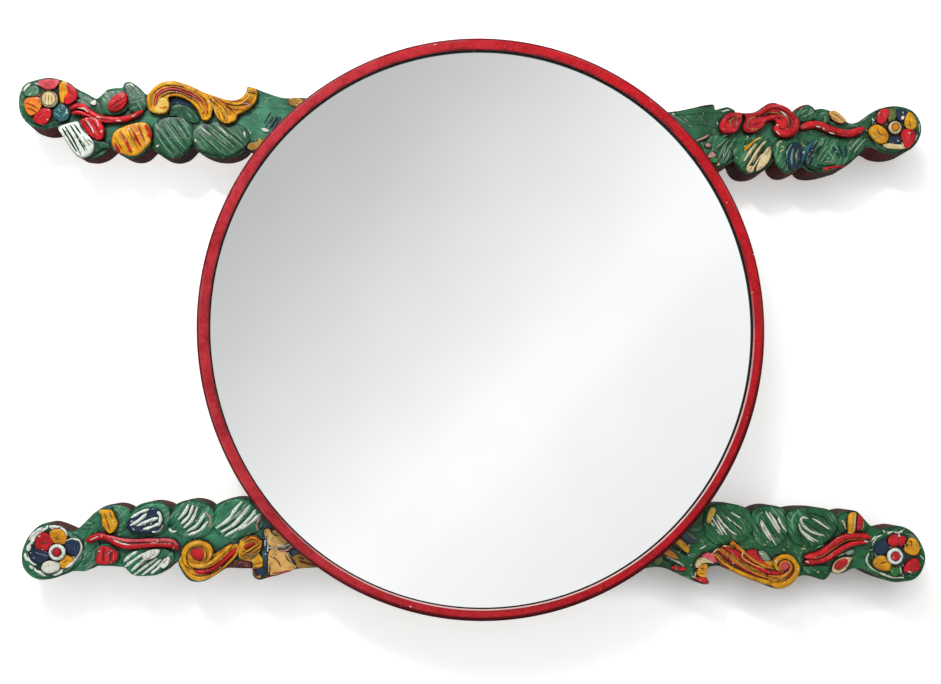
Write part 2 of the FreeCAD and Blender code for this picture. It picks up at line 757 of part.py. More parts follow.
def build():
    """Every piece by its name."""
    pieces = {
        "hoop_frame": hoop_frame(),
        "edging_ring": edging_ring(),
        "mirror_glass": mirror_glass(),
        "glass_packing": glass_packing(),
        "backing_board": backing_board(),
        "board_screws": board_screws(),
        "upper_rail": upper_rail(),
        "lower_rail": lower_rail(),
        "frame_screws": frame_screws(),
        "hanger_strap_left": hanger_strap(-1),
        "hanger_strap_right": hanger_strap(1),
        "hanger_ring_left": hanger_ring(-1),
        "hanger_ring_right": hanger_ring(1),
        "hanger_screws": hanger_screws(),
        "bumper_pads": bumper_pads(),
    }
    arms = {
        "upper_left": (
            upper_level, upper_left_rosette_share, upper_left_leaf_shares, upper_left_stem_shares,
            (
                upper_left_volute_share, upper_left_band_shares, upper_left_coil_degrees, upper_left_coil_hand,
                upper_left_finger_shares,
            ),
        ),
        "upper_right": (
            upper_level, upper_right_rosette_share, upper_right_leaf_shares, upper_right_stem_shares,
            (
                upper_right_volute_share, upper_right_band_shares, upper_right_coil_degrees, upper_right_coil_hand,
                upper_right_finger_shares,
            ),
        ),
        "lower_left": (
            lower_level, lower_left_rosette_share, lower_left_leaf_shares, lower_left_stem_shares,
            (
                lower_left_volute_share, lower_left_band_shares, lower_left_coil_degrees, lower_left_coil_hand,
                lower_left_finger_shares,
            ),
        ),
        "lower_right": (
            lower_level, lower_right_rosette_share, lower_right_leaf_shares, lower_right_stem_shares,
            (
                lower_right_volute_share, lower_right_band_shares, lower_right_coil_degrees, lower_right_coil_hand,
                lower_right_finger_shares,
            ),
        ),
    }
    for name, (level, rosette_share, leaf_shares, stem_shares, scroll_values) in arms.items():
        pieces[name + "_petals"] = petals(level, rosette_share)
        pieces[name + "_button"] = button(level, rosette_share)
        pieces[name + "_leaves"] = leaves(level, leaf_shares)
        pieces[name + "_stem"] = stem(level, stem_shares)
        pieces[name + "_scroll"] = scroll_group(level, *scroll_values)
    return pieces


os.makedirs("parts", exist_ok=True)
for node, shape in build().items():
    shape.exportStep("parts/" + node + ".step")
    print(node, len(shape.Solids), shape.isValid(), round(shape.Volume))
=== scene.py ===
"""Dresses the carved and painted wall mirror: carved rails, hoop, glass and the fittings behind."""
import math
import bpy
from mathutils import Matrix, Vector
from mathutils.bvhtree import BVHTree


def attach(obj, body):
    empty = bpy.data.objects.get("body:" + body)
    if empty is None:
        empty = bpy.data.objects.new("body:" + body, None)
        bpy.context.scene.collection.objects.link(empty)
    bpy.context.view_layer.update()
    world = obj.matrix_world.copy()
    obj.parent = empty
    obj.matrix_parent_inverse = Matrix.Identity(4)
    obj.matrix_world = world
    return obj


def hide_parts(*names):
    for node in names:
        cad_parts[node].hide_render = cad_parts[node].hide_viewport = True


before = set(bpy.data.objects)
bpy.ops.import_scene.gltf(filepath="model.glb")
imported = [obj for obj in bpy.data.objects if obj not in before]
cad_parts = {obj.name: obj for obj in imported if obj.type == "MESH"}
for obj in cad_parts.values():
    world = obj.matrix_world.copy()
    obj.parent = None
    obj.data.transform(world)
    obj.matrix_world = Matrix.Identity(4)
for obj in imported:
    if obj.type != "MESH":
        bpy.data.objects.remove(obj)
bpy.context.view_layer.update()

# Depths of the model, in metres from the wall
rail_back_depth = 0.008
rail_front_depth = 0.053
board_front_depth = 0.062
hoop_front_depth = 0.076
hoop_half_width = 0.400
hoop_half_height = 0.411

# The viewpoint of the photograph, fitted to the hoop and the four rosettes
picture_width = 941
picture_height = 684
eye_distance = 1.576
eye = Vector((-0.1088, -eye_distance, -0.1663))
yaw = math.radians(-3.98)
pitch = math.radians(2.5)
roll = math.radians(0.69)
focal_pixels = 1076.7
shift_right_pixels = 11.3
shift_down_pixels = 55.9
sensor_width = 36.0

level_right = Vector((math.cos(yaw), math.sin(yaw), 0))
forward = Vector((-math.sin(yaw) * math.cos(pitch), math.cos(yaw) * math.cos(pitch), math.sin(pitch)))
level_up = level_right.cross(forward)
right = math.cos(roll) * level_right + math.sin(roll) * level_up
up = -math.sin(roll) * level_right + math.cos(roll) * level_up
pixel_size = (eye_distance - rail_front_depth) / focal_pixels


def sight(px, py):
    """The direction in which a pixel of the photograph looks."""
    across = (px - picture_width / 2 - shift_right_pixels) / focal_pixels
    down = (py - picture_height / 2 - shift_down_pixels) / focal_pixels
    return forward + right * across - up * down


def seen_at(px, py, depth):
    """Where a pixel of the photograph lies on the plane at a depth in front of the wall."""
    ray = sight(px, py)
    return eye + ray * ((-depth - eye.y) / ray.y)


def pairs(row):
    """A flat row of pixel numbers as points."""
    return [(row[n], row[n + 1]) for n in range(0, len(row), 2)]


# Outlines of the rails' fronts, read off the photograph in pixels. Each arm runs from the hoop's lower
# or outer meeting point round the rosette and back along the other edge.
upper_left_edge = (
    262, 150, 248.2, 148.5, 247, 147.3, 246, 148.8, 242, 153, 234, 157, 225, 158.8, 214, 158, 204, 154.5,
    196.5, 150, 194, 148, 193, 147.3, 192, 148.2, 190, 150.5, 184, 156, 175, 159, 166, 158, 158, 153.5,
    153.4, 148.8, 152, 147.2, 150.8, 148.6, 148.5, 151, 143, 156, 136, 158.5, 128, 158, 120, 154.5,
    114, 149.8, 112, 147.9, 111, 147.2, 110, 148.2, 107, 151, 102, 155, 95, 158, 88, 159, 80, 157.5, 74, 153,
    69, 146, 64, 138, 57, 127, 50, 128.5, 40, 128.5, 28, 124, 21, 115, 18.5, 104, 20, 92, 25, 84, 35, 80,
    48, 77.5, 58, 79, 70, 83, 76, 88, 88, 94, 96, 98.5, 101, 95, 106, 90, 114, 88, 122, 87.5, 124, 83.5,
    128, 81.5, 134, 83.5, 140, 88, 147, 94.5, 152, 91, 160, 84, 171, 80.5, 182, 83, 195, 89, 210, 95, 222, 99,
    232, 100.5, 240, 98.5, 246, 92, 248, 86.5, 257, 89, 270, 94, 285, 98, 300, 97.5, 311, 98.5,
)
upper_right_edge = (
    716, 168, 725, 166, 731, 162.5, 733.2, 161, 734, 160.6, 734.8, 162, 737, 167, 741.5, 171.8, 748, 174,
    756, 173.6, 763, 171, 769, 166.5, 773, 161.6, 774, 160.6, 774.8, 162, 777, 167, 781.5, 171, 787, 172.6,
    794, 171.5, 800, 168.6, 802.4, 167.3, 803.2, 167, 804.2, 168.6, 808, 171.6, 815, 173, 823, 172.6,
    832, 170.6, 840, 168.2, 847, 165.6, 858, 156, 866, 148, 873, 148, 880, 152, 890, 154, 901, 153, 911, 149,
    918, 141, 921.5, 131, 920, 121, 914, 112, 905, 107.5, 893, 106, 880, 108.5, 870, 113.5, 862, 119.5,
    855, 123, 848, 122.5, 840, 116.5, 832, 111.5, 822, 108.5, 815.5, 109.5, 813, 107, 808, 104.5, 802, 105.5,
    796, 108.5, 791.5, 111.5, 784, 106.5, 776, 103, 770, 103, 764, 106, 755, 112, 745, 113, 735.5, 112,
    735, 110.5, 728, 107, 720, 108.5, 715, 109.5, 714, 104.5, 705, 105, 692, 108, 680, 110.5, 668, 112,
)
lower_left_edge = (
    262, 508, 259, 503, 250, 499, 238, 497.3, 226, 499.6, 217, 504, 214.2, 506.8, 213, 508, 211.8, 506.8,
    208, 503.4, 201, 500.4, 192, 499.4, 182, 501.3, 175, 505, 173.2, 507, 172, 508.2, 170.8, 507,
    167.5, 504.4, 160, 502, 151, 501.4, 141, 503.8, 134, 508.2, 132.2, 510.6, 131, 512, 129.8, 510.4,
    126.5, 507.4, 120, 504.8, 112, 504.2, 105, 506, 99, 509.5, 92, 515, 80, 527, 72, 531, 65, 528.5,
    55, 524.5, 45, 523, 36, 528, 28, 537, 23, 548, 21.5, 557, 23, 567, 29, 575, 38, 579.5, 48, 579.5, 58, 577,
    68, 572.5, 76, 571, 86, 571, 96, 566, 122, 567, 127, 570, 134, 575.5, 148, 576, 160, 574, 170, 566,
    177, 561, 179, 566, 184, 575, 190, 580.5, 197, 582, 206, 580.5, 216, 575, 226, 568.5, 234, 568,
    244, 568.4, 252, 568.6, 252.3, 571, 253, 576, 259, 580, 270, 577, 285, 572, 300, 568.5, 317, 567.5,
)
lower_right_edge = (
    703, 509, 707, 506, 714, 504, 722, 503.2, 733, 503.8, 742, 506.2, 748, 509.4, 750.4, 511.2, 751.4, 511.8,
    752.4, 511, 757, 508, 763, 506, 770, 505.2, 778, 506.3, 783, 509, 785, 510.8, 786, 511.4, 787.2, 510.6,
    792, 508.6, 800, 507.4, 808, 507, 820, 507.6, 828, 509.4, 834, 512.6, 836, 514.6, 837.4, 513.4,
    842, 511.6, 849, 510.2, 856, 511, 861, 515, 866, 521, 873, 527.5, 880, 529, 890, 527, 900, 526, 910, 530,
    918, 538, 924, 550, 925.5, 560, 922, 571, 915, 579, 905, 581.5, 893, 582, 880, 578, 870, 573, 862, 569.5,
    855, 568.5, 851, 569, 843, 573, 835, 573.5, 832, 571, 828, 577, 823, 580, 815, 577.5, 806, 575.5,
    800, 576, 797, 578, 790, 585, 780, 589, 770, 587, 757, 582, 745, 577, 733, 571.5, 722, 566.5, 713, 566,
    708, 568, 706, 573, 707, 578, 709.5, 583, 704, 584.5, 695, 581.5, 684, 577, 674, 572, 664, 568, 655, 567,
    645, 568.5,
)

# Lobes carved in the green ground: height over the rail's front in mm, then the outline in pixels
upper_left_lobes = (
    (3, (21, 104, 22, 92, 27, 85, 36, 82, 48, 79.5, 58, 81, 69, 85, 76, 93, 74, 104, 69, 117, 58, 124,
     42, 126, 30, 122, 23, 114)),
    (4, (72, 104, 77, 92, 88, 97, 97, 101, 103, 108, 104, 115, 94, 113, 84, 107)),
    (5, (100, 100, 106, 92, 116, 90, 124, 91, 129, 97, 129, 105, 122, 113, 110, 115, 102, 112)),
    (5, (124, 86, 128, 83.5, 133, 85.5, 140, 90, 146, 97, 147, 106, 139, 113, 130, 110, 127, 99)),
    (7, (60, 128, 68, 123, 78, 121, 86, 129, 94, 138, 104, 142, 109, 146, 101, 148, 91, 154, 80, 156, 73, 150,
     66, 139)),
    (7, (113, 134, 120, 128, 135, 123, 146, 123, 151, 131, 152, 140, 147, 147, 138, 155, 128, 156, 118, 151,
     112, 145)),
    (7, (154, 126, 164, 118, 180, 117, 190, 124, 192, 138, 189, 147, 181, 154.5, 172, 156.5, 160, 151,
     154, 142)),
    (6, (193, 132, 203, 124, 222, 123, 240, 126, 247, 134, 246, 144, 237, 151, 225, 156, 208, 152, 195, 145)),
    (3, (170, 107, 180, 104, 194, 110, 200, 121, 190, 123, 178, 116, 169, 116)),
)
upper_right_lobes = (
    (3, (873, 131, 873, 119, 881, 111, 893, 108, 905, 109.5, 913, 114, 918, 122, 919.5, 131, 916, 141,
     910, 147, 901, 151, 890, 152, 880, 149, 873, 141)),
    (4, (794, 113, 799, 108, 807, 106, 812, 109, 815, 114, 812, 120, 802, 122, 795, 118)),
    (3, (814, 113, 822, 110, 830, 112.5, 831, 120, 824, 125, 815, 122)),
    (5, (703, 141, 716, 136, 728, 137, 734, 144, 733, 153, 728, 160, 722, 165, 716, 166, 710, 158, 704, 150)),
    (7, (735, 147, 742, 137, 753, 133, 766, 137, 772, 147, 770, 157, 760, 167, 748, 172, 740, 165, 735, 158)),
    (6, (774, 150, 779, 140, 792, 138, 806, 141, 806, 152, 802, 162, 794, 169, 786, 171, 778, 164)),
    (6, (806, 151, 815, 142, 830, 138, 845, 139, 850, 147, 851, 157, 845, 163, 834, 168, 821, 170.5,
     809, 165)),
    (3, (852, 141, 860, 137, 866, 142, 864, 149, 856, 156, 851, 161, 848, 154)),
)
lower_left_lobes = (
    (3, (23, 556, 25, 547, 30, 537, 38, 529, 46, 525, 56, 526.5, 68, 531, 79, 539, 83, 550, 80, 562, 70, 570,
     58, 575, 46, 577, 36, 576, 28, 569)),
    (4, (84, 545, 88, 534, 96, 527, 98, 540, 100, 555, 93, 565, 84, 568)),
    (5, (92, 519, 101, 510, 112, 506, 124, 508, 130, 514, 128, 525, 118, 532, 104, 534, 93, 530)),
    (7, (132, 514, 143, 507, 152, 504.5, 164, 506, 169, 513, 168, 524, 160, 533, 145, 536, 132, 530,
     127, 521)),
    (7, (174, 510, 183, 504.5, 192, 502.5, 204, 505, 212, 511, 213, 524, 206, 534, 192, 538, 178, 533,
     170, 521)),
    (6, (217, 509, 227, 502.5, 237, 500, 250, 503, 261, 513, 262, 524, 254, 532, 238, 538, 222, 535,
     214, 524)),
    (5, (97, 562, 97, 550, 102, 545, 110, 545, 118, 552, 118, 560, 110, 565, 100, 565)),
    (7, (123, 564, 127, 555, 138, 550, 158, 548, 170, 552, 172, 560, 165, 568, 152, 573, 136, 573, 128, 569)),
)
lower_right_lobes = (
    (3, (871, 556, 873, 545, 880, 535, 889, 530, 900, 528.5, 909, 532, 916, 539, 921, 550, 922.5, 560,
     919, 570, 913, 577, 904, 579, 893, 579.5, 881, 575, 874, 567)),
    (6, (707, 510, 714, 507, 728, 505.5, 742, 509, 750, 515, 752, 527, 746, 538, 730, 544, 714, 542,
     706, 530)),
    (6, (753, 514, 762, 509, 772, 507.5, 781, 512, 786, 520, 787, 532, 780, 543, 768, 547, 757, 540,
     753, 526)),
    (7, (788, 516, 797, 511, 812, 509, 828, 512.5, 836, 520, 835, 532, 826, 542, 812, 546, 797, 543,
     789, 530)),
    (4, (839, 519, 847, 514, 856, 514, 864, 521, 868, 528, 862, 533, 848, 534, 839, 530)),
    (4, (804, 567, 815, 565, 828, 566, 828, 573, 822, 577, 813, 575, 805, 572)),
)

# Raised forms with their own colour: paint, height in mm, outline in pixels
upper_left_petals = (
    ("sage", 5.4, (25.5, 89.5, 32, 86, 38, 87.5, 39, 92.5, 36, 96, 29.5, 96.5, 25, 94.5)),
    ("chalk", 6.2, (23.6, 90, 26, 86, 29.6, 83.6, 30.6, 85.4, 27.6, 88, 25.2, 91.4)),
    ("rose", 7, (38, 82, 48, 79.5, 59, 81, 56, 87, 49, 90, 42, 87)),
    ("ochre", 7, (60, 84, 66, 82.5, 70, 90, 68, 97, 63, 103, 60, 98)),
    ("red", 7.5, (67, 84, 74, 88, 77, 96, 73, 102, 66, 104, 64, 99, 68, 92)),
    ("orange", 7.5, (25, 101, 30, 98, 39, 98, 42, 104, 38, 112, 31, 115, 26, 110)),
    ("red", 7.5, (34, 118, 40, 110, 50, 108.5, 51, 115, 47, 122, 41, 124, 35, 121)),
    ("teal", 5.5, (53, 108, 62, 104, 68, 110, 68, 118, 62, 121, 54, 117)),
    ("rose", 4, (36, 94.5, 38, 92, 40, 94, 39, 97, 36.5, 97)),
)
upper_left_leaves = (
    ("white", 9, (58, 128, 67, 123.5, 78, 121.5, 82, 129, 90, 137, 94, 143, 93, 151, 87, 156, 80, 157,
     73, 151, 65, 139)),
    ("red", 9, (80, 121, 88, 117, 97, 118, 103, 125, 104, 134, 100, 140, 93, 138, 86, 132)),
    ("ochre", 9.5, (113, 134, 120, 128, 135, 123, 146, 123, 151, 131, 151, 140, 147, 146, 138, 154.5,
     128, 155.5, 118, 151, 112, 145)),
    ("red", 9, (108, 106, 111, 99, 118, 94, 124, 92, 127, 95, 126.5, 103, 121, 109.5, 114, 112, 109, 110)),
    ("chalk", 5.5, (90, 103.5, 93, 101, 95.5, 100, 96.5, 104, 94, 105.5)),
    ("brass", 2, (289, 99, 295, 97.5, 301, 99, 304, 103, 299, 106, 292, 106, 289, 103)),
    ("brass", 2, (247, 147, 250, 143, 257, 142, 259, 138, 265, 141, 264, 146, 259, 149, 251, 150)),
    ("chalk", 1.6, (261, 128.5, 265, 128, 269, 130.5, 267, 132, 263, 131)),
    ("navy", 1.6, (171, 97.5, 178, 96, 188, 100, 196, 107, 188, 107, 179, 105, 172, 103)),
)
upper_left_scroll_forms = (
    ("straw", 8.4, (153.5, 110, 157, 104, 160, 98.5, 165, 97.5, 168, 101, 168.5, 107, 166.5, 112, 161, 113.5,
     155.5, 113)),
)
upper_right_petals = (
    ("red", 7, (877, 121, 879, 112.5, 884, 109, 888.5, 110, 888, 116, 885, 122, 881, 124)),
    ("moss", 6, (889, 109.5, 895, 109, 896, 115, 894, 120, 889, 121.5, 887.5, 116)),
    ("navy", 6, (897, 110, 902, 109.5, 907, 112, 906, 117, 902, 121, 897, 119)),
    ("ochre", 7, (908, 113, 912, 114, 916, 121, 915, 128, 910, 130, 905, 126, 905, 119)),
    ("red", 7.5, (902, 131, 909, 129, 914, 132, 915, 138, 911, 145.5, 906, 147.5, 903, 142, 901, 136)),
    ("navy", 5.5, (889, 137, 895, 136, 901, 137, 902, 141, 896, 144, 889, 143)),
    ("ochre", 7.5, (871, 128, 877, 125, 884, 129, 888, 135, 886, 142, 880, 143, 874, 139, 870, 133)),
    ("cream", 5.5, (883, 144.5, 889, 143.5, 897, 144.5, 903, 145, 906, 148, 897, 149, 887, 148)),
    ("chalk", 7.5, (901, 117, 903, 116, 904, 118, 902.5, 120, 901, 119)),
)
upper_right_leaves = (
    ("tan", 6, (829, 112.5, 834, 110.5, 840, 114, 846, 120, 843, 123, 838, 122.5, 832, 119)),
    ("cream", 9, (756, 168, 761, 157, 768, 147, 771, 150, 770, 159, 764, 167, 757, 171)),
    ("cream", 8.6, (747, 167, 753, 166, 754, 170, 751, 172.5, 747, 171)),
    ("navy", 7.0, (787, 150, 790, 144, 796, 142, 801, 146, 802, 155, 800, 165, 795, 169.5, 789, 168.5,
     786, 160)),
    ("pink", 6.2, (705.5, 144, 708, 143, 710.5, 145, 709, 147.5, 706, 147)),
    ("pink", 6.5, (708, 156, 711, 152, 714, 153, 716, 156, 713, 158, 709, 158)),
    ("leafgreen", 5.6, (710, 159, 714, 157, 718, 159, 717, 163, 712, 162.5)),
    ("pink", 5.6, (717, 164, 719, 162.5, 720, 164.5, 719, 166, 717, 166)),
)
upper_right_scroll_forms = (
    ("red", 9.4, (777, 122, 779, 119, 784, 118.5, 787, 121.5, 786.5, 126, 783, 128.5, 778.5, 127)),
)
lower_left_petals = (
    ("red", 7.5, (36, 545, 37, 538, 42, 533, 49, 535, 53, 541, 51, 549, 44, 551, 38, 549)),
    ("ochre", 7.5, (50, 533, 54, 529.5, 61, 530, 66, 536, 65, 543, 58, 544.5, 52, 540)),
    ("navy", 7, (65, 541, 72, 540, 78.5, 542, 79.5, 548, 77, 555, 71, 555, 66, 550)),
    ("ochre", 7.5, (60, 562, 63, 555, 70, 556.5, 73, 560, 70, 566, 64, 568, 60, 566)),
    ("chalk", 7.5, (42, 566, 46, 561.5, 54, 561, 60, 564, 58, 570, 50, 573, 43, 571)),
    ("navy", 7.5, (30, 552, 35, 548, 43, 550.5, 50, 553.5, 48, 559, 41, 563, 34, 561, 31, 557)),
)
lower_left_leaves = (
    ("white", 4.6, (30.3, 541.2, 33.5, 531.6, 42, 527.8, 47.3, 528.6, 42, 532.7, 35.6, 538, 32.4, 544.4)),
    ("white", 4.4, (49, 526, 55.9, 525.4, 59, 528.6, 52.7, 529.8)),
    ("white", 4.4, (60, 528.3, 66.5, 531.5, 67.6, 536, 63.3, 533.9)),
    ("white", 4.8, (68, 541.6, 71.9, 539, 79.3, 540.5, 81.5, 547.6, 79.3, 556, 73, 565, 69.5, 566.5,
     75.5, 558.3, 79, 549.7, 76.5, 541.8)),
    ("white", 4.2, (26.5, 547.6, 30.3, 545, 31.8, 549.7, 28, 551.5)),
    ("white", 4.2, (28, 555, 31.3, 560.4, 37, 564.7, 33.5, 565.2, 29, 561)),
    ("white", 4.2, (34, 567, 38.8, 571, 44, 573.6, 40, 574.3, 34.6, 570.4)),
    ("white", 4.2, (52.7, 574.3, 62.3, 569.8, 62, 572.6, 55.9, 575.8)),
    ("ochre", 8, (99, 510.5, 111, 509.5, 115, 517, 118, 523, 115, 530, 110, 534, 105, 529, 102, 524,
     102, 516)),
    ("teal", 6.2, (103, 508, 108, 506, 112.5, 507.5, 110, 509.5, 104, 509.5)),
    ("navy", 9, (127, 527, 130, 518, 140, 511, 154, 508, 161, 512, 163, 522, 157, 531, 145, 534, 132, 532)),
    ("red", 8, (96, 562, 98, 549, 103, 546, 110, 547.5, 117.5, 553, 116.5, 560, 110, 564, 100, 564)),
    ("white", 9, (143, 554, 150, 550, 160, 549.5, 157, 556, 148, 560, 143, 559)),
    ("white", 9, (160, 566, 163, 560, 168, 556.5, 170.5, 560, 167, 566, 163, 568.5)),
    ("slate", 2.2, (263, 518, 268, 519, 272, 526, 270, 530, 264, 528)),
)
lower_left_scroll_forms = (
    ("red", 8.5, (190, 552, 195, 548, 202, 549.5, 204, 556, 200, 561, 193, 558)),
    ("maroon", 5, (227, 566, 232, 562, 239, 559.5, 246, 560, 251.5, 562, 251.4, 567.6, 240, 567.3,
     229, 567.8)),
)
lower_right_petals = (
    ("navy", 7, (875, 548, 879, 541.5, 885, 541, 889, 547, 887, 553, 880, 555, 876, 552.5)),
    ("red", 7.5, (888, 542, 891, 536, 897, 535, 898.5, 540, 897, 545.5, 891, 546)),
    ("red", 7.5, (898, 545, 899, 537, 904, 536.5, 905.5, 540, 903, 545)),
    ("ochre", 7, (905, 546, 909, 539, 915, 539.5, 919.5, 547, 917, 554, 911, 554.5, 905, 551)),
    ("red", 7.5, (904, 569, 908, 562, 914, 558.5, 919, 562, 919, 569, 912, 572, 906, 572)),
    ("ochre", 7.5, (874, 563, 877, 557, 884, 556, 890, 561, 889.5, 570, 882, 570, 876, 567)),
    ("leafgreen", 6, (890, 568, 896, 566, 900, 571, 896, 576, 891, 574.5)),
)
lower_right_leaves = (
    ("straw", 7, (706.5, 521, 708, 512, 712, 507, 716, 510, 713, 517, 709, 524)),
    ("ochre", 8, (849, 514.5, 856, 512.5, 855.5, 522, 854.5, 532, 849, 534, 848, 524)),
    ("red", 7.5, (857, 516.5, 861, 515, 863, 521, 861, 529, 856.5, 531, 856, 523)),
    ("cream", 5, (832, 569.5, 836, 561, 844, 557.5, 852, 557.5, 850, 562, 846, 569.5, 839, 573, 834, 572.5)),
    ("red", 7, (834, 567, 838, 561, 845, 558.5, 848, 561, 844, 567, 838, 570)),
    ("ash", 5, (845, 552.5, 852, 549.5, 854, 552, 849, 555)),
    ("moss", 2.4, (654, 562, 659, 556, 663, 558, 662, 563, 657, 565)),
    ("ash", 4, (758, 552, 764, 551, 769, 557, 772, 564, 768, 567, 762, 560)),
)
lower_right_scroll_forms = (
    ("rose", 9, (779, 565, 782, 561, 787, 562, 789, 567, 785, 571, 780, 569)),
    ("red", 7, (743, 557, 747, 551, 755, 549.5, 757, 553, 763, 561, 770, 568, 758, 566, 749, 562)),
)

# Flat-topped leaves and the scrolls' bodies: what they belong to, paint, height in mm, outline in pixels
upper_left_plates = (
    ("leaves", "pine", 3.3, (24.5, 97, 27, 91, 33, 87, 42, 85.5, 52, 85.5, 62, 86.5, 70, 90, 74, 98, 72, 107,
     69, 116, 60, 120.5, 48, 121, 38, 119.5, 30, 114, 25.5, 106)),
    ("scroll", "ochre", 7, (150, 111, 147, 104.5, 147, 96, 152, 90, 158, 84.5, 165, 81.5, 173, 81, 182, 83,
     192, 87.5, 203, 92, 213, 95.5, 222, 98.5, 232, 100.5, 240, 98.5, 246, 93, 248.5, 87.5, 252, 87.5,
     256.5, 90, 257.5, 95, 255.5, 102, 251, 107, 246, 110.5, 240, 113.5, 237, 116, 236, 120, 232, 122,
     226, 124, 219.5, 120.5, 215.5, 115.5, 213.5, 109.5, 211.5, 115.5, 209, 119.5, 204, 120.5, 201, 117.5,
     200, 111, 196, 106, 191, 102, 186, 99, 179, 96.5, 173, 95.5, 168.5, 98, 169.5, 104, 169, 110, 165, 113.5,
     157, 114)),
)
upper_right_plates = (
    ("leaves", "pine", 3.5, (876, 119, 883, 112, 893, 110, 904, 111, 911, 116, 916, 125, 916, 136, 910, 144,
     901, 149, 890, 149.5, 881, 146, 875, 139, 873, 129)),
    ("scroll", "red", 7.5, (743, 126, 746, 118, 742, 113.8, 750, 113.5, 757, 112.5, 763, 110.5, 764.5, 106,
     770, 103.4, 777, 104, 784, 107, 790, 111.5, 796, 116, 799.5, 122, 798.5, 130, 794, 135, 787, 137.5,
     780, 136.5, 775.5, 133, 773, 128, 776, 123.5, 773, 119.5, 767, 121.5, 762, 127, 756, 131.5, 749, 133,
     744.5, 131)),
    ("scroll", "red", 7.5, (720.5, 130, 719.5, 125, 722, 118.5, 727, 114, 734, 112.5, 741, 113, 742, 117.5,
     740, 125, 736.5, 131, 730.5, 133.5, 724, 133.5)),
)
lower_left_plates = (
    ("leaves", "pine", 3.4, (28, 553, 32, 542, 40, 533, 50, 530, 62, 531, 72, 537, 79, 546, 78, 558, 70, 566,
     58, 571, 45, 572, 34, 567, 29, 560)),
    ("scroll", "ochre", 6.5, (181, 556, 182, 550, 186, 545, 193, 541.5, 201, 541, 208, 543.5, 212, 549,
     213, 554, 219, 551, 226, 546.5, 232, 544.5, 238, 543.5, 240, 548, 236, 556, 228, 563, 219, 570,
     212, 575.5, 204, 579.5, 197, 580.5, 191, 578.5, 185, 573, 181.5, 567, 178.5, 561)),
    ("scroll", "ochre", 6, (238, 553, 238.5, 546, 241, 539.5, 248, 536, 256, 535.5, 259, 539, 262, 541,
     261.5, 547, 259, 553, 262, 557, 263, 562, 262, 567, 254, 567, 252, 562, 245, 560.5, 240, 558.5)),
    ("leaves", "tan", 4.5, (264, 531, 268, 528, 272.5, 530.5, 276, 529, 282, 532.5, 288.5, 538.5, 288, 543,
     282, 547.5, 274, 547.5, 269, 545, 265.5, 538)),
    ("leaves", "tan", 4.8, (268, 560, 269, 551, 274.5, 547.5, 281, 551, 288, 552, 291.5, 555.5, 295, 561,
     297, 567.5, 288, 572, 278, 574.5, 269.5, 575, 268, 567)),
    ("leaves", "pink", 5, (278, 550.5, 284, 546.5, 290, 542.5, 294.5, 546, 290, 550, 284, 552)),
    ("leaves", "brass", 4, (292.5, 557, 299, 553.5, 307, 557, 314, 563, 316, 567, 306, 567.5, 297.5, 568,
     295.5, 562)),
    ("leaves", "teal", 3.5, (291, 553, 293.5, 548.5, 299, 550, 298, 553, 293, 555.5)),
    ("leaves", "navy", 5, (256.5, 568.5, 264, 568, 264, 574, 257, 574.5)),
    ("leaves", "tan", 4.4, (253, 564, 262, 563, 261.5, 568, 253.5, 568.5)),
    ("leaves", "tan", 4.2, (254.5, 576, 261.5, 575.5, 259.5, 578.5, 257, 578)),
    ("leaves", "pine", 1.8, (262, 524, 270, 525, 290, 537, 302, 550, 314, 565, 300, 567.5, 284, 571, 270, 575,
     263, 575.5, 263, 560, 263, 540)),
    ("leaves", "chalk", 4.2, (264.5, 540, 267.5, 541, 269, 547, 268, 552, 265, 550)),
    ("leaves", "teal", 3.6, (262, 553, 265, 549, 268, 553, 267, 562, 265, 573, 262.5, 575, 262, 566)),
)
lower_right_plates = (
    ("leaves", "pine", 3.4, (874, 556, 876, 547, 883, 538, 892, 534, 901, 533, 909, 536, 916, 543, 920, 552,
     919, 563, 913, 573, 904, 576, 893, 576, 883, 572, 876, 565)),
    ("scroll", "ochre", 5.5, (714, 553, 719, 548.5, 726, 546, 733, 544.5, 736, 548, 742, 553, 749, 557.5,
     757, 560, 765, 561, 772, 560.5, 776, 557, 783, 555.5, 790, 556.5, 796, 561, 798.5, 568, 797.5, 575,
     793, 582, 786, 586.5, 777, 587, 767, 585, 757, 581, 746, 576.5, 734, 571, 723, 565.5, 717, 560)),
    ("scroll", "cream", 6, (695, 567, 696, 561.5, 700, 557.5, 706, 557, 711, 559, 714, 563.5, 709, 563,
     702, 563.5, 698, 568)),
    ("scroll", "ochre", 5.6, (697, 570, 700, 564.5, 706, 563.5, 708, 567, 706, 573, 706.5, 577.5, 701, 577,
     697.5, 575)),
    ("scroll", "red", 5.4, (694, 578.5, 699, 577, 706, 578, 708.5, 583, 704, 584)),
    ("scroll", "rose", 6.4, (701, 556, 706, 553, 713, 553, 718, 557, 719, 562, 713, 562.5, 706, 558.5)),
    ("leaves", "ochre", 3.2, (673, 540, 677, 537.5, 682, 540, 688, 545.5, 689.5, 549, 688, 553, 683, 550,
     677, 544.5)),
    ("leaves", "amber", 3.2, (661, 551, 667, 548.5, 673, 551.5, 678.5, 557.5, 677, 559, 670, 557.5,
     664, 554)),
    ("leaves", "red", 3.4, (671, 566.5, 678, 565, 685, 567.5, 686, 570.5, 679, 570.5, 673, 569.5)),
    ("leaves", "slate", 2.4, (682, 530, 686, 529, 692, 536, 698, 541.5, 692, 543.5, 685, 540, 681, 535)),
)

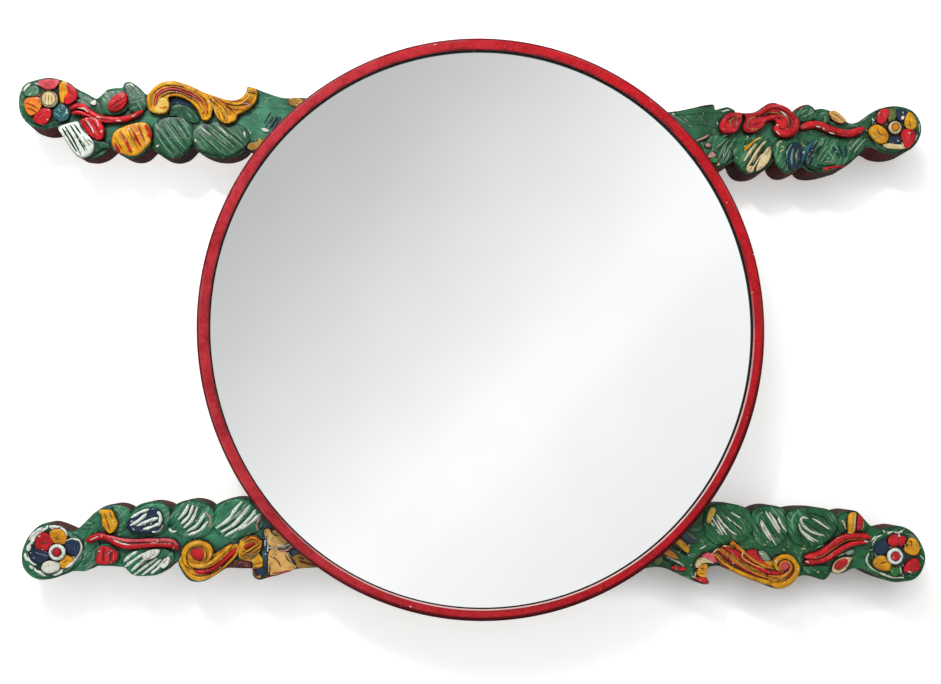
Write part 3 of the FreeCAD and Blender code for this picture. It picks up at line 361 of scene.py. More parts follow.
# Rounded bands: paint, height in mm, widths in pixels at the start, middle and end, points in pixels
upper_left_stem_bands = (
    ("red", 8, (6, 7, 5), (71, 109, 77, 106.5, 84, 107.5, 90, 113, 97, 117, 107, 119.5, 119, 120, 129, 118,
     137, 114.5, 143, 111)),
    ("red", 7.5, (4, 5, 3), (72, 113, 79, 112.5, 86, 115, 93, 118.5, 101, 121, 112, 122)),
)
upper_left_scroll_bands = (
    ("ochre", 9, (4, 6, 5), (151.5, 108, 149, 102, 150.5, 95.5, 156, 89, 163.5, 84.5, 173, 83.8, 183, 86,
     194, 90.5, 203.5, 95.5, 209, 101.5, 210.5, 109, 208, 117)),
    ("orange", 8.6, (2, 3, 4), (154.5, 105, 153.5, 98.5, 157.5, 92, 164.5, 88, 173, 86.8, 183, 89, 193, 93.5,
     201.5, 99, 206, 106.5, 206, 117)),
    ("rose", 8.6, (2, 2.6, 2), (157, 108.5, 155.6, 101.5, 158, 95, 164.5, 90.5, 172, 89, 180, 90.2,
     188.5, 93.6, 197, 98, 202, 102.5)),
    ("brass", 8.4, (2, 3.4, 2), (161, 97, 165, 93.8, 172, 92, 181, 93.4, 190, 97.4, 196, 101)),
    ("ochre", 8.6, (2.5, 3.6, 6), (169.5, 96, 175, 94.6, 182, 96, 190, 100, 196.5, 105, 201, 111,
     203.5, 118)),
    ("straw", 8.2, (1.5, 2, 1.5), (203, 100, 206, 105.5, 208.5, 112)),
    ("orange", 9.6, (1.4, 2, 1.4), (159.5, 107.5, 164, 107.6, 167, 106.5)),
    ("ochre", 8.2, (2, 5, 5), (207, 95.5, 214, 101, 219, 109, 222.5, 119.5, 224, 122.5)),
    ("straw", 8, (1, 1.6, 1), (209.5, 100, 213.5, 106, 216.5, 114, 220.5, 120)),
    ("amber", 8.4, (2, 5, 7), (213, 97, 221, 103, 228, 110.5, 232, 118)),
    ("straw", 8.2, (1, 1.6, 1), (222, 107, 225.5, 113.5, 226.5, 121.5)),
    ("ochre", 8.4, (2, 4, 5), (218, 99, 229, 103.5, 239, 104.5, 247, 100, 252.5, 91)),
    ("amber", 8.2, (2, 4, 3), (221, 102, 232, 108, 241, 109.5, 249, 105.5, 254.5, 97)),
    ("brass", 8.8, (2, 3.4, 2), (247.5, 90.5, 251.5, 92, 256, 93)),
    ("pink", 8.9, (1.2, 2, 1.2), (241.5, 103, 245, 104, 249, 103.5)),
)
upper_right_stem_bands = (
    ("red", 8, (8, 9, 8), (799, 128.5, 808, 125.5, 817, 125, 827, 129, 838, 132.5, 848, 134, 856, 132,
     864, 128.5)),
)
upper_right_scroll_bands = (
    ("red", 9.6, (5, 7, 6), (750, 116, 758, 114.8, 766, 109.5, 774, 106.5, 783, 109, 791, 114.5, 796, 122,
     794.5, 129.5, 788.5, 134.5, 781.5, 133.5, 777, 129.5)),
    ("red", 9.2, (7, 6, 4), (750, 127, 755, 122.5, 762, 120.5, 770, 117.5, 777, 116.5, 783.5, 118, 786.5, 122,
     785, 127, 780.5, 127.5, 778.5, 124)),
    ("brass", 9.2, (1, 1.8, 1), (761, 116, 768, 113.5, 776, 113, 783, 115.5, 788.5, 120.5, 789, 126.5)),
    # A painted highlight on the scroll's curl
    ("straw", 10, (1, 2.4, 1), (781, 111.5, 784, 113.5, 786.5, 116)),
    ("rose", 9.8, (1.5, 2.5, 1.5), (747, 124, 747.5, 128, 750.5, 130.5)),
    ("red", 9, (5, 6, 4), (724, 130.5, 723.5, 124, 727.5, 118, 734, 115.8, 740, 116)),
    ("rose", 9.2, (3, 4, 2.5), (736, 128, 737, 123, 736.5, 120.5)),
    ("brass", 8.8, (1, 1.6, 1), (730.5, 126, 730.5, 121, 734, 117.8, 739, 117)),
    ("crimson", 8.4, (2, 3, 2), (721.5, 130.5, 727, 132.5, 733, 131.5)),
    ("pink", 5, (2, 3, 2), (696, 141, 703, 138.5, 709, 135)),
)
lower_left_stem_bands = (
    ("red", 8, (7, 7, 6), (87, 542, 92, 538.5, 100, 536, 107, 537, 114, 541, 121, 544.5, 131, 546, 145, 545,
     160, 544.5, 172, 545, 179, 549)),
    ("rose", 8.5, (3, 4, 4), (104, 535.5, 112, 537.5, 121, 540, 132, 541, 146, 540.5, 160, 540.5, 172, 541,
     178, 546)),
)
lower_left_scroll_bands = (
    ("ochre", 9.5, (4, 7, 6), (207, 562, 211, 555, 209, 547, 200, 543, 190, 545.5, 184.5, 553, 186, 562,
     193, 566, 203, 566, 213, 561, 224, 552, 232, 545)),
    ("ochre", 8, (4, 6, 3), (181, 558, 184, 567, 190, 575, 199, 578.5, 210, 575.5, 221, 568, 231, 560,
     238, 552)),
    ("red", 9, (5, 5, 5), (194, 570, 201, 572, 211, 570, 222, 562.5, 231, 554, 236.5, 548)),
    ("amber", 8.5, (2, 3, 2), (190, 566, 200, 568.5, 211, 566, 222, 558, 232, 549)),
    ("red", 9, (3, 4.5, 3), (244.5, 548.5, 249, 545.5, 254.5, 543)),
    ("orange", 8.6, (2, 3, 2), (245, 542, 249.5, 538, 255, 538, 257.5, 541)),
    ("ochre", 8.2, (2, 3.4, 2), (240, 555.5, 247, 551.5, 254, 547, 260, 543)),
    ("brass", 8, (2, 3, 2), (241, 558.5, 249, 556.5, 257, 552.5)),
)
lower_right_stem_bands = (
    ("red", 8.5, (8, 7.5, 7), (804, 557, 813, 556.5, 822, 552.5, 831, 546, 840, 539.5, 850, 536, 861, 536,
     870, 537.5)),
    ("red", 8, (7, 6.5, 5), (804, 562, 815, 561.5, 826, 558.5, 836, 552, 846, 546, 856, 542.5, 868, 542)),
)
lower_right_scroll_bands = (
    ("ochre", 9.5, (4, 7, 7), (780, 572, 775, 565, 779, 558.5, 787, 557, 794.5, 562, 796.5, 571, 791, 580,
     781, 585.5, 770, 583.5)),
    ("ochre", 8, (6, 6, 4), (775, 584, 760, 580, 745, 574.5, 731, 568, 720, 561, 714, 554)),
    ("amber", 9, (3, 4, 4), (783, 572, 779, 567, 782, 561.5, 788, 562, 791, 567, 788, 573, 779, 577,
     768, 575)),
    ("red", 8.6, (4, 6.5, 5), (784, 572.5, 772, 573, 758, 568, 746, 560, 735, 551.5, 723, 548)),
    ("amber", 8.5, (3, 5, 4), (774, 568.5, 763, 566, 751, 559, 742, 551, 735, 545.5, 730, 543.5)),
    ("orange", 8, (3, 4, 4), (768, 578, 754, 573.5, 740, 566, 727, 557, 717, 549)),
    ("ochre", 7.5, (2, 3, 2), (726, 550, 737, 558, 750, 567, 764, 572)),
    ("crimson", 8.3, (2, 3.5, 3), (716, 551, 726, 557.5, 738, 566, 750, 573, 762, 577.5)),
    ("red", 8.4, (2, 3, 2), (722, 546.5, 732, 553, 744, 562, 756, 568.5)),
)

# Turned buttons: middle in pixels, radius in pixels, height in mm, ring paint, centre paint, centre radius
buttons = {
    "upper_left": (48.5, 98.5, 8.2, 11, "cream", "cream", 6.9),
    "upper_right": (896, 127, 6.6, 11, "cream", "amber", 4.0),
    "lower_left": (56.5, 552.5, 8.0, 11, "white", "red", 4.2),
    "lower_right": (896, 556.5, 8.4, 11, "white", "red", 4.6),
}

# Painted ridges and grooves, and some painted highlights: paint, width in pixels, then each line as a row of
# pixel points
upper_left_lines = (
    ("pine", 2.0, ((62, 128, 69, 139, 77, 152), (65, 126.5, 73, 139, 81, 155), (70, 125, 77, 136, 85, 151),
     (74, 124, 81, 134))),
    ("ash", 1.2, ((80, 139, 86, 147), (84, 138, 90, 146), (82, 144, 87, 150))),
    ("sage", 1.3, ((88, 139, 93, 144), (60, 131, 66, 142, 72, 151))),
    ("maroon", 1.1, ((84, 120, 90, 128, 95, 137), (90, 118, 96, 126, 101, 136), (110, 107, 118, 101, 126, 97),
     (112, 111, 120, 105, 126, 101))),
    ("rose", 1.4, ((87, 120, 93, 128, 98, 136), (95, 119, 100, 127), (111, 103, 118, 97, 123, 94))),
    ("red", 3.6, ((145, 124.5, 149, 132, 150.5, 140), (134, 132, 137, 139, 141, 146),
     (125, 139, 128, 146, 132, 153.5), (115, 143, 118, 149, 121, 154))),
    ("rose", 1.5, ((129, 125, 133, 131, 135, 136), (119, 131, 123, 137, 126, 143),
     (138, 127, 142, 136, 146, 145))),
    # Painted highlights and pale strokes on the red leaf
    ("white", 1.4, ((87, 121, 91, 127, 94, 133), (96, 120, 99, 126), (84, 129, 88, 135))),
    ("brass", 1.1, ((45.2, 94.5, 45.2, 102.5), (48.5, 93, 48.5, 104), (51.8, 94.5, 51.8, 102.5))),
    ("rust", 1.1, ((120, 130, 125, 139, 130, 152), (127, 127, 133, 139, 139, 151),
     (138, 124, 142, 134, 146, 146), (114, 137, 119, 144, 123, 152))),
    ("straw", 1.3, ((123, 129, 129, 140, 134, 151), (131, 126, 136, 134, 143, 147), (116, 133, 121, 142),
     (141, 124.5, 146, 136, 147, 144))),
    ("mint", 1.2, ((158, 126, 168, 140, 178, 153), (165, 122, 175, 137, 186, 149),
     (172, 119, 181, 130, 189, 143), (155, 132, 163, 144, 171, 154), (178, 118, 185, 126, 190, 135))),
    ("pine", 1.4, ((156, 129, 166, 143, 175, 154.5), (161, 124, 171, 139, 182, 152),
     (169, 120.5, 178, 133, 188, 147), (176, 119, 184, 129, 190, 139))),
    ("ash", 1.3, ((194, 128, 206, 139, 222, 153), (199, 125, 212, 136, 230, 151),
     (205, 123.5, 218, 133, 235, 148), (213, 123, 226, 132, 240, 145), (222, 124, 233, 132, 243, 141))),
    ("chalk", 1.1, ((200, 127, 210, 135), (216, 125, 222, 130, 228, 136), (182, 118, 185, 121))),
    ("pine", 1.3, ((196, 131, 209, 143, 218, 152), (202, 125, 216, 138, 232, 151),
     (209, 123, 222, 134, 238, 147), (218, 123.5, 230, 133, 242, 143))),
    ("slate", 3.2, ((266, 127, 273, 117), (269, 129, 277, 116.5), (272.5, 130, 281, 117),
     (276, 130.5, 284, 119))),
    ("chalk", 2.0, ((156, 147, 159, 145), (195, 139, 196, 142), (250, 132, 251, 134), (244, 131, 245, 137))),
    ("ash", 1.2, ((78, 96, 86, 99, 92, 103), (76, 100, 84, 103, 90, 107), (128, 97, 137, 97),
     (130, 103, 138, 101, 145, 99), (131, 109, 138, 106), (136, 92, 141, 94))),
    ("chalk", 1.8, ((101, 96, 104, 93, 107, 92), (126, 86, 130, 84, 134, 87), (40, 85, 35, 83))),
    ("rust", 1.6, ((26, 103, 32, 105, 38, 109), (27, 108, 33, 110, 37, 113))),
    ("rose", 1.4, ((41, 113, 46, 110), (38, 119, 44, 114), (70, 88, 74, 92), (69, 94, 73, 97),
     (43, 84, 49, 82, 54, 83))),
    ("pine", 1.4, ((264, 124, 268, 117, 271, 112), (270.8, 129, 276, 121, 279, 116.5))),
    ("mint", 1.2, ((57, 108, 61, 112), (54, 112, 60, 117), (63, 117, 66, 112), (27, 91, 33, 88),
     (27, 95, 34, 93))),
    # Painted highlights along the stem's top, partly pale worn paint
    ("chalk", 1.5, ((78, 108, 84, 108.5, 88, 112), (96, 116.5, 101, 118), (116, 120.5, 121, 120.5),
     (131, 117, 136, 114.5))),
    ("rust", 1.0, ((153, 94, 161, 87.5, 172, 86.5, 185, 90, 197, 96, 205, 104, 208, 114),
     (160, 98, 165, 94.5, 174, 92, 186, 95.5, 197, 103, 203, 113), (155, 105, 155, 97.5),
     (211, 99, 220, 109, 226, 121), (216, 98.5, 227, 105, 235, 114), (221, 100.5, 235, 105, 249, 102,
     254, 95), (231, 101.5, 243, 100, 250, 93))),
    ("straw", 1.0, ((158, 88, 168, 84, 180, 85.5, 194, 91.5, 205, 98), (151, 99, 155, 92),
     (247, 94, 250, 89.5))),
)
upper_right_lines = (
    ("ash", 1.4, ((736, 138, 729, 148, 722, 162), (731, 138, 723, 148, 718, 160),
     (726, 139, 717, 147, 711, 152), (730, 150, 727, 160))),
    ("sage", 2.2, ((727, 145, 724, 153, 723, 163), (718, 143, 712, 148))),
    ("pine", 1.4, ((733, 139, 725, 149, 720, 161), (729, 139, 719, 148, 712, 155),
     (738, 141, 733, 150, 727, 161), (741, 128, 735, 137))),
    ("ochre", 3.4, ((744, 151, 749, 146, 755, 140.5),)),
    ("straw", 2.4, ((754, 141, 759, 138.5, 761, 138), (744, 147, 746, 146))),
    ("cream", 3.3, ((744, 161, 750, 152, 756, 144), (747, 168, 754, 156, 761, 146, 766, 141),
     (751, 171, 757, 162, 763, 154), (770, 147, 766, 153))),
    ("pine", 2.0, ((746, 164, 753, 153, 760, 144), (750, 170, 757, 159, 764, 149), (755, 169, 760, 159))),
    ("pink", 1.5, ((753, 163, 757, 155), (764, 156, 767, 150))),
    ("cream", 1.6, ((777, 147, 778, 143, 782, 140.5), (781, 146, 785, 148), (780, 152, 784, 149))),
    ("mint", 1.2, ((792, 144, 788, 150, 786, 160), (783, 140, 777, 148, 776, 158), (793, 152, 792, 162))),
    ("sage", 2.2, ((794, 148, 792, 156, 792.5, 164), (798, 149, 797, 156, 796.5, 163))),
    ("navy", 2.0, ((796, 146, 794, 155, 794, 166), (800.5, 148, 800, 156, 798.5, 164),
     (789.5, 152, 788.5, 160, 790, 167))),
    ("pink", 1.4, ((801, 142, 804, 146, 806, 147), (796, 152, 796, 160))),
    ("mint", 1.0, ((793, 149, 791, 158, 792, 165), (788, 160, 787, 169))),
    ("teal", 7.5, ((813, 142, 808, 149, 803, 157, 800, 166),)),
    ("navy", 4.6, ((818, 142, 812, 151, 808, 158), (813, 156, 808, 166))),
    ("navy", 2.7, ((832.5, 146.5, 836, 152, 839.5, 157.5), (838, 145, 840.8, 151, 842.5, 158),
     (845.5, 145.5, 846, 151, 845.5, 158))),
    ("ash", 1.2, ((820, 141, 815, 149, 810, 157), (824, 142, 818, 150, 813, 157),
     (827, 146, 821, 154, 817, 160), (801, 162, 799, 168), (835.5, 145, 838, 150), (849, 146, 849, 154))),
    ("pine", 4.2, ((805.5, 160, 808, 165, 815, 168.5, 826, 169),)),
    ("pine", 2.6, ((817, 165, 826, 166, 836, 164.5), (823, 145, 818, 150, 814, 157))),
    ("ash", 1.2, ((821, 162, 825, 156, 828, 150.5), (828, 150.5, 832, 156, 835, 162),
     (823, 162.5, 829, 161.5, 834, 162))),
    ("mint", 2.4, ((827, 159, 830, 158),)),
    ("ash", 2.4, ((850, 150, 857, 141.5, 863, 136), (854, 152.5, 861, 144, 866, 138.5),
     (849, 144, 854, 138.5))),
    ("maroon", 1.3, ((756, 148, 750, 157, 747, 165), (764, 146, 758, 156, 753, 166))),
    ("red", 3.0, ((822, 170, 829, 168, 838, 166.5, 848, 165),)),
    ("crimson", 2.6, ((795, 111, 800, 107.5, 806, 106),)),
    ("ash", 1.6, ((801, 114, 804, 111, 808, 110), (803, 117, 808, 115, 812, 112),
     (820, 115, 824, 113, 828, 114), (825, 115, 825, 122), (850, 125, 858, 126), (829, 122, 836, 124))),
    # Mostly painted highlights: glints on the red scroll and pale streaks along the stem's top
    ("chalk", 1.6, ((816, 126, 821, 127), (823, 127.5, 825, 130), (829, 132, 835, 134),
     (781, 111.5, 784, 113.5, 787, 117), (776.5, 124.5, 778.5, 125.5), (776, 131, 780, 134.5),
     (866, 129, 867, 131), (872, 118, 874, 121))),
    ("rose", 1.4, ((803, 128, 809, 126), (838, 134.5, 848, 135.5), (724, 120, 728, 116), (722, 128, 726, 130),
     (748, 121, 748, 127), (761, 122, 768, 119), (770, 107, 777, 106, 784, 109), (796, 118, 797, 124))),
    ("brass", 1.2, ((730, 126, 731, 121, 735, 117.5, 741, 115.5), (747, 124, 750, 119, 756, 116),
     (752, 130, 762, 127, 771, 121))),
    ("maroon", 1.4, ((733, 128, 737, 122, 741, 118), (758, 117, 768, 113.5, 777, 113.5),
     (790, 119, 791, 124, 788, 129), (764, 125, 773, 120))),
    ("rust", 1.2, ((833, 113, 839, 117, 844, 121), (831, 116, 837, 120.5))),
    ("maroon", 1.5, ((828, 112, 834, 109.8, 840.5, 113.5, 846.5, 119.5), (829, 114, 832.5, 119.5, 838, 123.5,
     843.5, 124))),
    ("pink", 1.3, ((836, 115, 841, 119),)),
    ("straw", 1.6, ((872, 128.5, 875, 133), (871, 134, 876, 138, 879, 139.5), (910, 115, 913, 121))),
    ("rust", 1.4, ((877, 128, 880, 134, 886, 136), (909, 120, 911, 127))),
    ("rose", 1.4, ((878, 120, 880, 113), (884, 112, 885, 118), (907, 141, 910, 135), (885, 124.5, 888, 124))),
    ("chalk", 1.8, ((909, 132, 910, 134), (902, 142, 904, 146), (919, 124, 919.5, 132), (917, 135, 915, 141),
     (912, 109, 915, 112))),
    ("ash", 1.4, ((672, 115, 679, 119, 686, 124), (684, 118, 688, 122), (688, 125, 692, 127),
     (862, 121, 868, 117))),
    ("maroon", 1.8, ((699, 107, 707, 105.8, 713, 105.5),)),
    ("chalk", 1.6, ((672, 113.5, 675, 115), (717, 122, 718, 125), (722, 112, 726, 110.5, 730, 110),
     (723, 136, 727, 135.5))),
)
lower_left_lines = (
    ("crimson", 1.5, ((268.5, 573.5, 279, 572.5, 290, 570.3),)),
    ("pine", 1.6, ((289.5, 556, 293, 561.5, 297, 567.5), (270, 528.5, 273, 534, 279, 536),
     (276, 548, 283, 549.5, 291, 545))),
    ("rust", 2.2, ((299, 561, 306, 563, 315, 565.5), (299, 557, 304, 559), (254.6, 568, 255, 574,
     259, 578.2))),
    ("crimson", 1.6, ((264, 578, 275, 575, 287, 571.6, 297, 569),)),
    ("rust", 1.2, ((233, 565, 240, 562.5, 249, 563.5), (244, 566, 250, 566))),
    ("maroon", 1.2, ((270, 556, 277, 560, 281, 567), (285, 554, 288, 560, 294, 564))),
    ("ash", 1.3, ((284, 548, 289, 546, 293, 544), (266, 533, 269, 539), (270, 541, 274, 537))),
    ("white", 3.0, ((29, 540, 34, 533, 42, 527.5), (46, 529, 48, 525.5), (52, 527, 59, 527.5, 64, 530.5,
     67, 536), (27, 547, 33, 541.5), (25, 553, 26, 558, 29, 561), (29, 565, 33, 569),
     (38, 571, 42, 574, 46, 576), (58, 571.5, 63, 569), (66, 567.5, 71, 564, 75, 559))),
    ("chalk", 1.8, ((66, 541, 72, 539, 78.5, 540, 81.5, 547, 80, 555), (72, 556, 75, 559),
     (33, 529, 38, 526))),
    ("ash", 1.6, ((82, 553, 87, 549), (81, 561, 88, 556, 90, 549), (84, 567, 92, 561, 94, 552),
     (72, 533, 78, 533), (64, 570, 72, 567), (69, 535, 73, 538))),
    ("rust", 2.4, ((41, 542.5, 47, 542.5),)),
    ("slate", 1.8, ((35, 552, 42, 555, 48, 556), (69, 545, 70, 551), (75, 545, 74, 552))),
    ("crimson", 1.3, ((39, 548, 43, 550, 49, 549), (44, 535, 50, 539))),
    ("rust", 1.2, ((54, 537, 59, 540), (104, 513, 107, 521, 110, 531), (110, 512, 112, 519),
     (63, 563, 68, 560))),
    ("straw", 1.5, ((53, 532, 58, 531), (106, 512, 111, 519, 114, 525), (112, 521, 116, 520))),
    ("mint", 1.3, ((115, 509, 119, 512, 122, 519), (119, 509, 123, 512, 125, 517), (86, 522, 93, 524),
     (118, 527, 125, 522))),
    ("white", 3.4, ((131, 518, 140, 512.5, 149, 509.5), (130, 525.5, 138, 521, 147, 513.5),
     (137, 526, 148, 521, 158, 518), (152, 532, 158, 530.5, 163, 525), (143, 529.5, 152, 527, 160, 523))),
    ("white", 3.6, ((157.5, 511.5, 160.5, 517, 159, 526),)),
    ("slate", 1.6, ((134, 523, 142, 518, 150, 512), (140, 531, 149, 529, 157, 526), (146, 518, 154, 515))),
    ("maroon", 2.0, ((104, 548, 103, 562), (111, 549, 110.5, 562))),
    ("rose", 1.6, ((101, 549, 99, 561), (107.5, 548.5, 107, 561), (114, 553, 113, 562))),
    ("white", 3.3, ((124, 561.5, 130, 556, 137, 551.5), (124.5, 567, 134, 560, 145, 553),
     (131, 571, 141, 562.5, 150, 556), (134, 575, 146, 566, 157, 558), (142, 575, 152, 567.5, 161, 559.5),
     (151, 573.5, 158, 568, 161, 563))),
    ("pink", 1.6, ((137, 566, 146, 560, 154, 554), (163, 563.5, 167, 560))),
    ("white", 3.3, ((178, 519.5, 185, 512, 189.5, 501.5), (181, 524, 189, 516, 193, 505),
     (183.5, 528, 192, 520, 197.5, 507), (187, 531.5, 197, 525, 205, 513), (188, 535, 200, 530.5, 208, 521),
     (169, 528.5, 172, 531.5, 177, 531))),
    ("pink", 2.2, ((206, 512, 210.5, 519, 209, 527), (190, 509, 195, 512))),
    ("pine", 1.3, ((179, 522, 187, 513.5, 192, 502), (182, 526, 190, 518, 195, 506),
     (185, 530, 195, 522.5, 201, 510), (188, 533, 199, 527.5, 206, 517))),
    ("white", 3.6, ((216, 528, 228, 520, 234, 511, 242, 501.5), (221, 532, 234, 524.5, 244, 513, 250, 505),
     (225, 536, 239, 528, 251, 517, 256, 509), (238, 530, 250, 523, 261, 513))),
    ("ash", 2.4, ((230, 521, 239, 513, 247, 503), (236, 519, 246, 509), (246, 524, 256, 513))),
    ("pine", 1.3, ((219, 530, 231, 522, 240, 511, 247, 503), (223, 534.5, 237, 526, 248, 515, 254, 507),
     (231, 534, 246, 525, 258, 512))),
    ("pink", 2.0, ((258, 531, 256.5, 524, 261, 516.5),)),
    ("maroon", 1.6, ((259.5, 529, 259, 524, 263, 518),)),
    ("chalk", 1.2, ((90, 540, 98, 536.5), (113, 540, 122, 543.5, 130, 545), (150, 543, 160, 542.5))),
    ("maroon", 1.4, ((110, 537.5, 120, 542, 132, 543.5, 146, 542.8, 160, 542.5, 174, 543.5),
     (145, 541.5, 147.5, 543.5), (186, 556, 188, 564, 196, 569, 208, 568), (192, 574, 202, 576, 213, 573,
     224, 565, 234, 556))),
    ("rust", 1.2, ((204, 565, 214, 558, 226, 548), (190, 549, 199, 547, 206, 551, 206, 558, 200, 562),
     (242, 552, 248, 552, 256, 546), (244, 557, 252, 555, 260, 548), (254, 565, 262, 562))),
    ("moss", 1.8, ((249, 560, 256, 556, 262, 549), (242, 541, 246, 538), (234, 562, 240, 558))),
    ("maroon", 1.8, ((245, 539, 250, 537.5), (226, 547, 231, 543))),
    ("straw", 1.3, ((187, 548, 193, 544, 201, 543.5), (196, 567, 206, 565.5, 214, 561),
     (189, 577, 198, 580.5, 208, 578))),
    ("slate", 2.6, ((267, 536, 266, 550, 265.5, 562, 264.5, 576),)),
    ("chalk", 2.0, ((268, 547, 278, 549, 290, 543.5), (266.5, 548, 266, 553), (277, 545, 283, 546))),
    ("navy", 2.4, ((288, 552, 291, 558, 296, 565), (290, 548, 296, 550))),
    ("maroon", 1.6, ((269, 571, 272, 576, 284, 572.5), (270, 564, 270, 572))),
)
lower_right_lines = (
    ("chalk", 2.4, ((711, 522, 714.5, 526.5), (716, 514, 722, 522, 730, 530.5, 737, 535),
     (712, 517.5, 717, 525, 723, 535), (717, 520, 722, 528, 727, 535))),
    ("chalk", 1.6, ((731, 512.5, 736, 515.5, 741, 518), (734, 523, 738, 526, 742, 529),
     (726, 516, 731, 521, 735, 523), (716, 529, 721, 535))),
    ("pine", 1.3, ((714, 517, 719, 525, 725, 534), (719, 515, 726, 524, 734, 532),
     (724, 514, 732, 522, 741, 531), (737, 513, 744, 518))),
    ("chalk", 2.8, ((760.5, 522, 765, 532, 771, 541), (761, 520, 768, 532, 776, 545),
     (765.5, 511.5, 771, 520, 777, 529, 780, 533), (769, 512, 775, 521, 780, 530),
     (778, 517, 781, 524, 786.5, 531.5))),
    ("maroon", 1.2, ((762, 524, 768, 535, 773, 543), (768, 515, 774, 524, 779, 531))),
    ("pine", 1.4, ((764, 518, 770, 528, 776, 538), (773, 514, 778, 522, 783, 530), (757, 524, 762, 534))),
    ("mint", 1.8, ((757, 523, 758, 516, 763, 512), (796, 514, 792, 521, 794, 532),
     (799, 511, 794, 515, 791, 521), (816, 548, 824, 545), (843, 551, 851, 549))),
    ("chalk", 2.8, ((808, 518.5, 803, 517.5, 801, 521, 806, 528, 814, 533, 824, 535.5),
     (799, 524, 801, 530, 807, 537, 814, 542), (800, 529, 808, 536, 818, 541.5),
     (812.5, 518, 819, 522, 829, 529))),
    ("maroon", 1.1, ((803, 524, 809, 531, 817, 536), (815, 520, 822, 525), (802, 533, 809, 539))),
    ("pine", 1.5, ((805, 521, 812, 527, 821, 532), (810, 516, 819, 521, 828, 527),
     (797, 521, 798, 530, 804, 539), (808, 513, 818, 515, 828, 520))),
    ("cream", 1.8, ((841, 521, 843.5, 522, 846, 529.5), (767, 541, 768, 543), (783, 549, 785, 551),
     (801, 549, 806, 548.5), (817, 571, 819, 573))),
    ("cream", 1.6, ((855.5, 514, 855, 522, 854.5, 531), (848, 533, 852, 532.5),
     (863, 519, 863.5, 526, 861, 530))),
    ("straw", 1.6, ((851, 516, 851, 530),)),
    ("brass", 1.6, ((814, 559.5, 824, 555, 834, 548, 844, 541.5, 854, 539, 866, 539.5),)),
    ("maroon", 1.5, ((818, 560, 828, 555, 838, 548, 848, 542, 858, 540), (826, 562, 838, 556))),
    ("rose", 1.5, ((830, 544.5, 838, 538.5, 848, 535), (826, 558, 836, 550.5), (806, 556.5, 812, 556))),
    ("chalk", 1.8, ((806, 561, 809, 562.5), (864, 541, 868, 542), (838, 556.5, 845, 553),
     (883, 530, 885, 533))),
    ("chalk", 2.0, ((869, 553, 866.5, 560, 870, 567, 877, 571.5), (877, 571.5, 885, 575, 893, 577.5,
     904, 577.5), (872, 546, 876, 538.5, 882, 535), (870, 542, 876, 536))),
    ("chalk", 2.4, ((887, 534, 893, 531.5), (894, 532, 899, 533, 904, 529.5), (899, 534, 899.5, 537),
     (920, 555.5, 924, 559.5), (900, 566, 901, 574), (883, 573, 887, 576), (908, 571.5, 912, 572.5))),
    ("ash", 1.4, ((906, 534, 913, 536, 919, 542), (908, 537, 914, 537.5), (875, 551, 876, 556, 881, 556))),
    ("mint", 1.6, ((869, 551, 873, 549), (919, 549, 922, 547), (888, 574, 890, 576))),
    ("maroon", 1.6, ((908, 542, 911.5, 541.5, 911.5, 546), (880, 563.5, 888, 561.5), (904, 544, 908, 548))),
    ("pine", 2.4, ((905, 543, 909, 546), (894, 566, 896, 568))),
    ("straw", 1.4, ((913, 543, 916, 549), (889, 547.5, 896, 547), (876, 562, 878, 558),
     (769, 577, 777, 579, 786, 575.5), (730, 556, 741, 564, 754, 570.5), (740, 556, 752, 564, 765, 569))),
    ("rust", 1.2, ((781, 558, 789, 560, 793, 566, 792, 574, 786, 580), (738, 565, 752, 573, 768, 579),
     (733, 552, 745, 562, 758, 570), (700, 568, 705, 569), (699, 573, 705, 574),
     (718, 550, 726, 557, 738, 566))),
    ("rose", 1.8, ((727, 549, 737, 555.5, 747, 563), (722, 552, 732, 561), (707, 556, 713, 557))),
    ("crimson", 2.2, ((715, 556, 721, 563, 730, 569), (719, 551, 728, 560, 741, 568),
     (765, 573, 775, 575, 785, 573))),
    ("cream", 2.2, ((713, 553, 719, 548.5), (723, 546.5, 727, 546), (696, 572, 695, 577),
     (702, 559, 708, 561.5), (743, 551, 742, 557), (692, 576, 697, 578.5))),
    ("orange", 2.6, ((731, 541, 735, 544, 738, 550),)),
    ("pine", 3.0, ((672, 546, 680, 551, 690, 557), (660, 557, 670, 562, 682, 568))),
    ("chalk", 1.9, ((676, 548, 683, 552.5, 690, 556.5), (667, 557, 676, 561, 684, 566),
     (700, 549, 706, 546))),
    ("ash", 1.6, ((685, 530, 690, 535, 695, 539), (690, 533, 697, 540), (700, 540, 704, 543),
     (681, 576, 690, 578))),
    ("chalk", 1.6, ((688, 544, 690, 547), (759, 553, 764, 555), (775, 560, 777, 563))),
)

# How carving rises: share of its height, and share of its width that is left there. Lobes swell gently
# from the ground, and petals and leaves stand up with a cut edge.
lobe_shares = ((0.42, 0.995), (0.74, 0.96), (0.92, 0.88), (0.98, 0.72), (1.0, 0.40))
petal_shares = ((0.70, 1.0), (0.90, 0.955), (0.97, 0.87), (0.99, 0.70), (1.0, 0.36))
# A flat-topped form's softened edge: share of its height, and how far in it comes there, in metres
plate_steps = ((0.80, 0.0003), (0.94, 0.0005), (1.0, 0.0007))
# Lobes over this height in mm are scales, which lean into the ground; the flat ones carry a rosette
flat_lobe_height = 3
lobe_height_share = 0.72
petal_growth = 1.07
lobe_growth = 1.08
inner_share = 0.12
lean_reach_share = 0.6
seat_depth = 0.001
traced_level_share = 0.75

# Smooth curves: how many steps lie between two traced points
fine_steps = 3
coarse_steps = 2

# Ridges and straps: how far a ridge sinks in, how thin it ends, how soon it is full, and its uneven width
# as waves, each with its strength and its turn per step
ridge_sink_share = 0.45
tip_share = 0.45
tip_growth = 3
ridge_waves = ((0.22, 1.9), (0.12, 0.8))
# A ridge's rise is marked as over 1, so that its painted shade stays lighter than the forms'
ridge_rise = 2.0
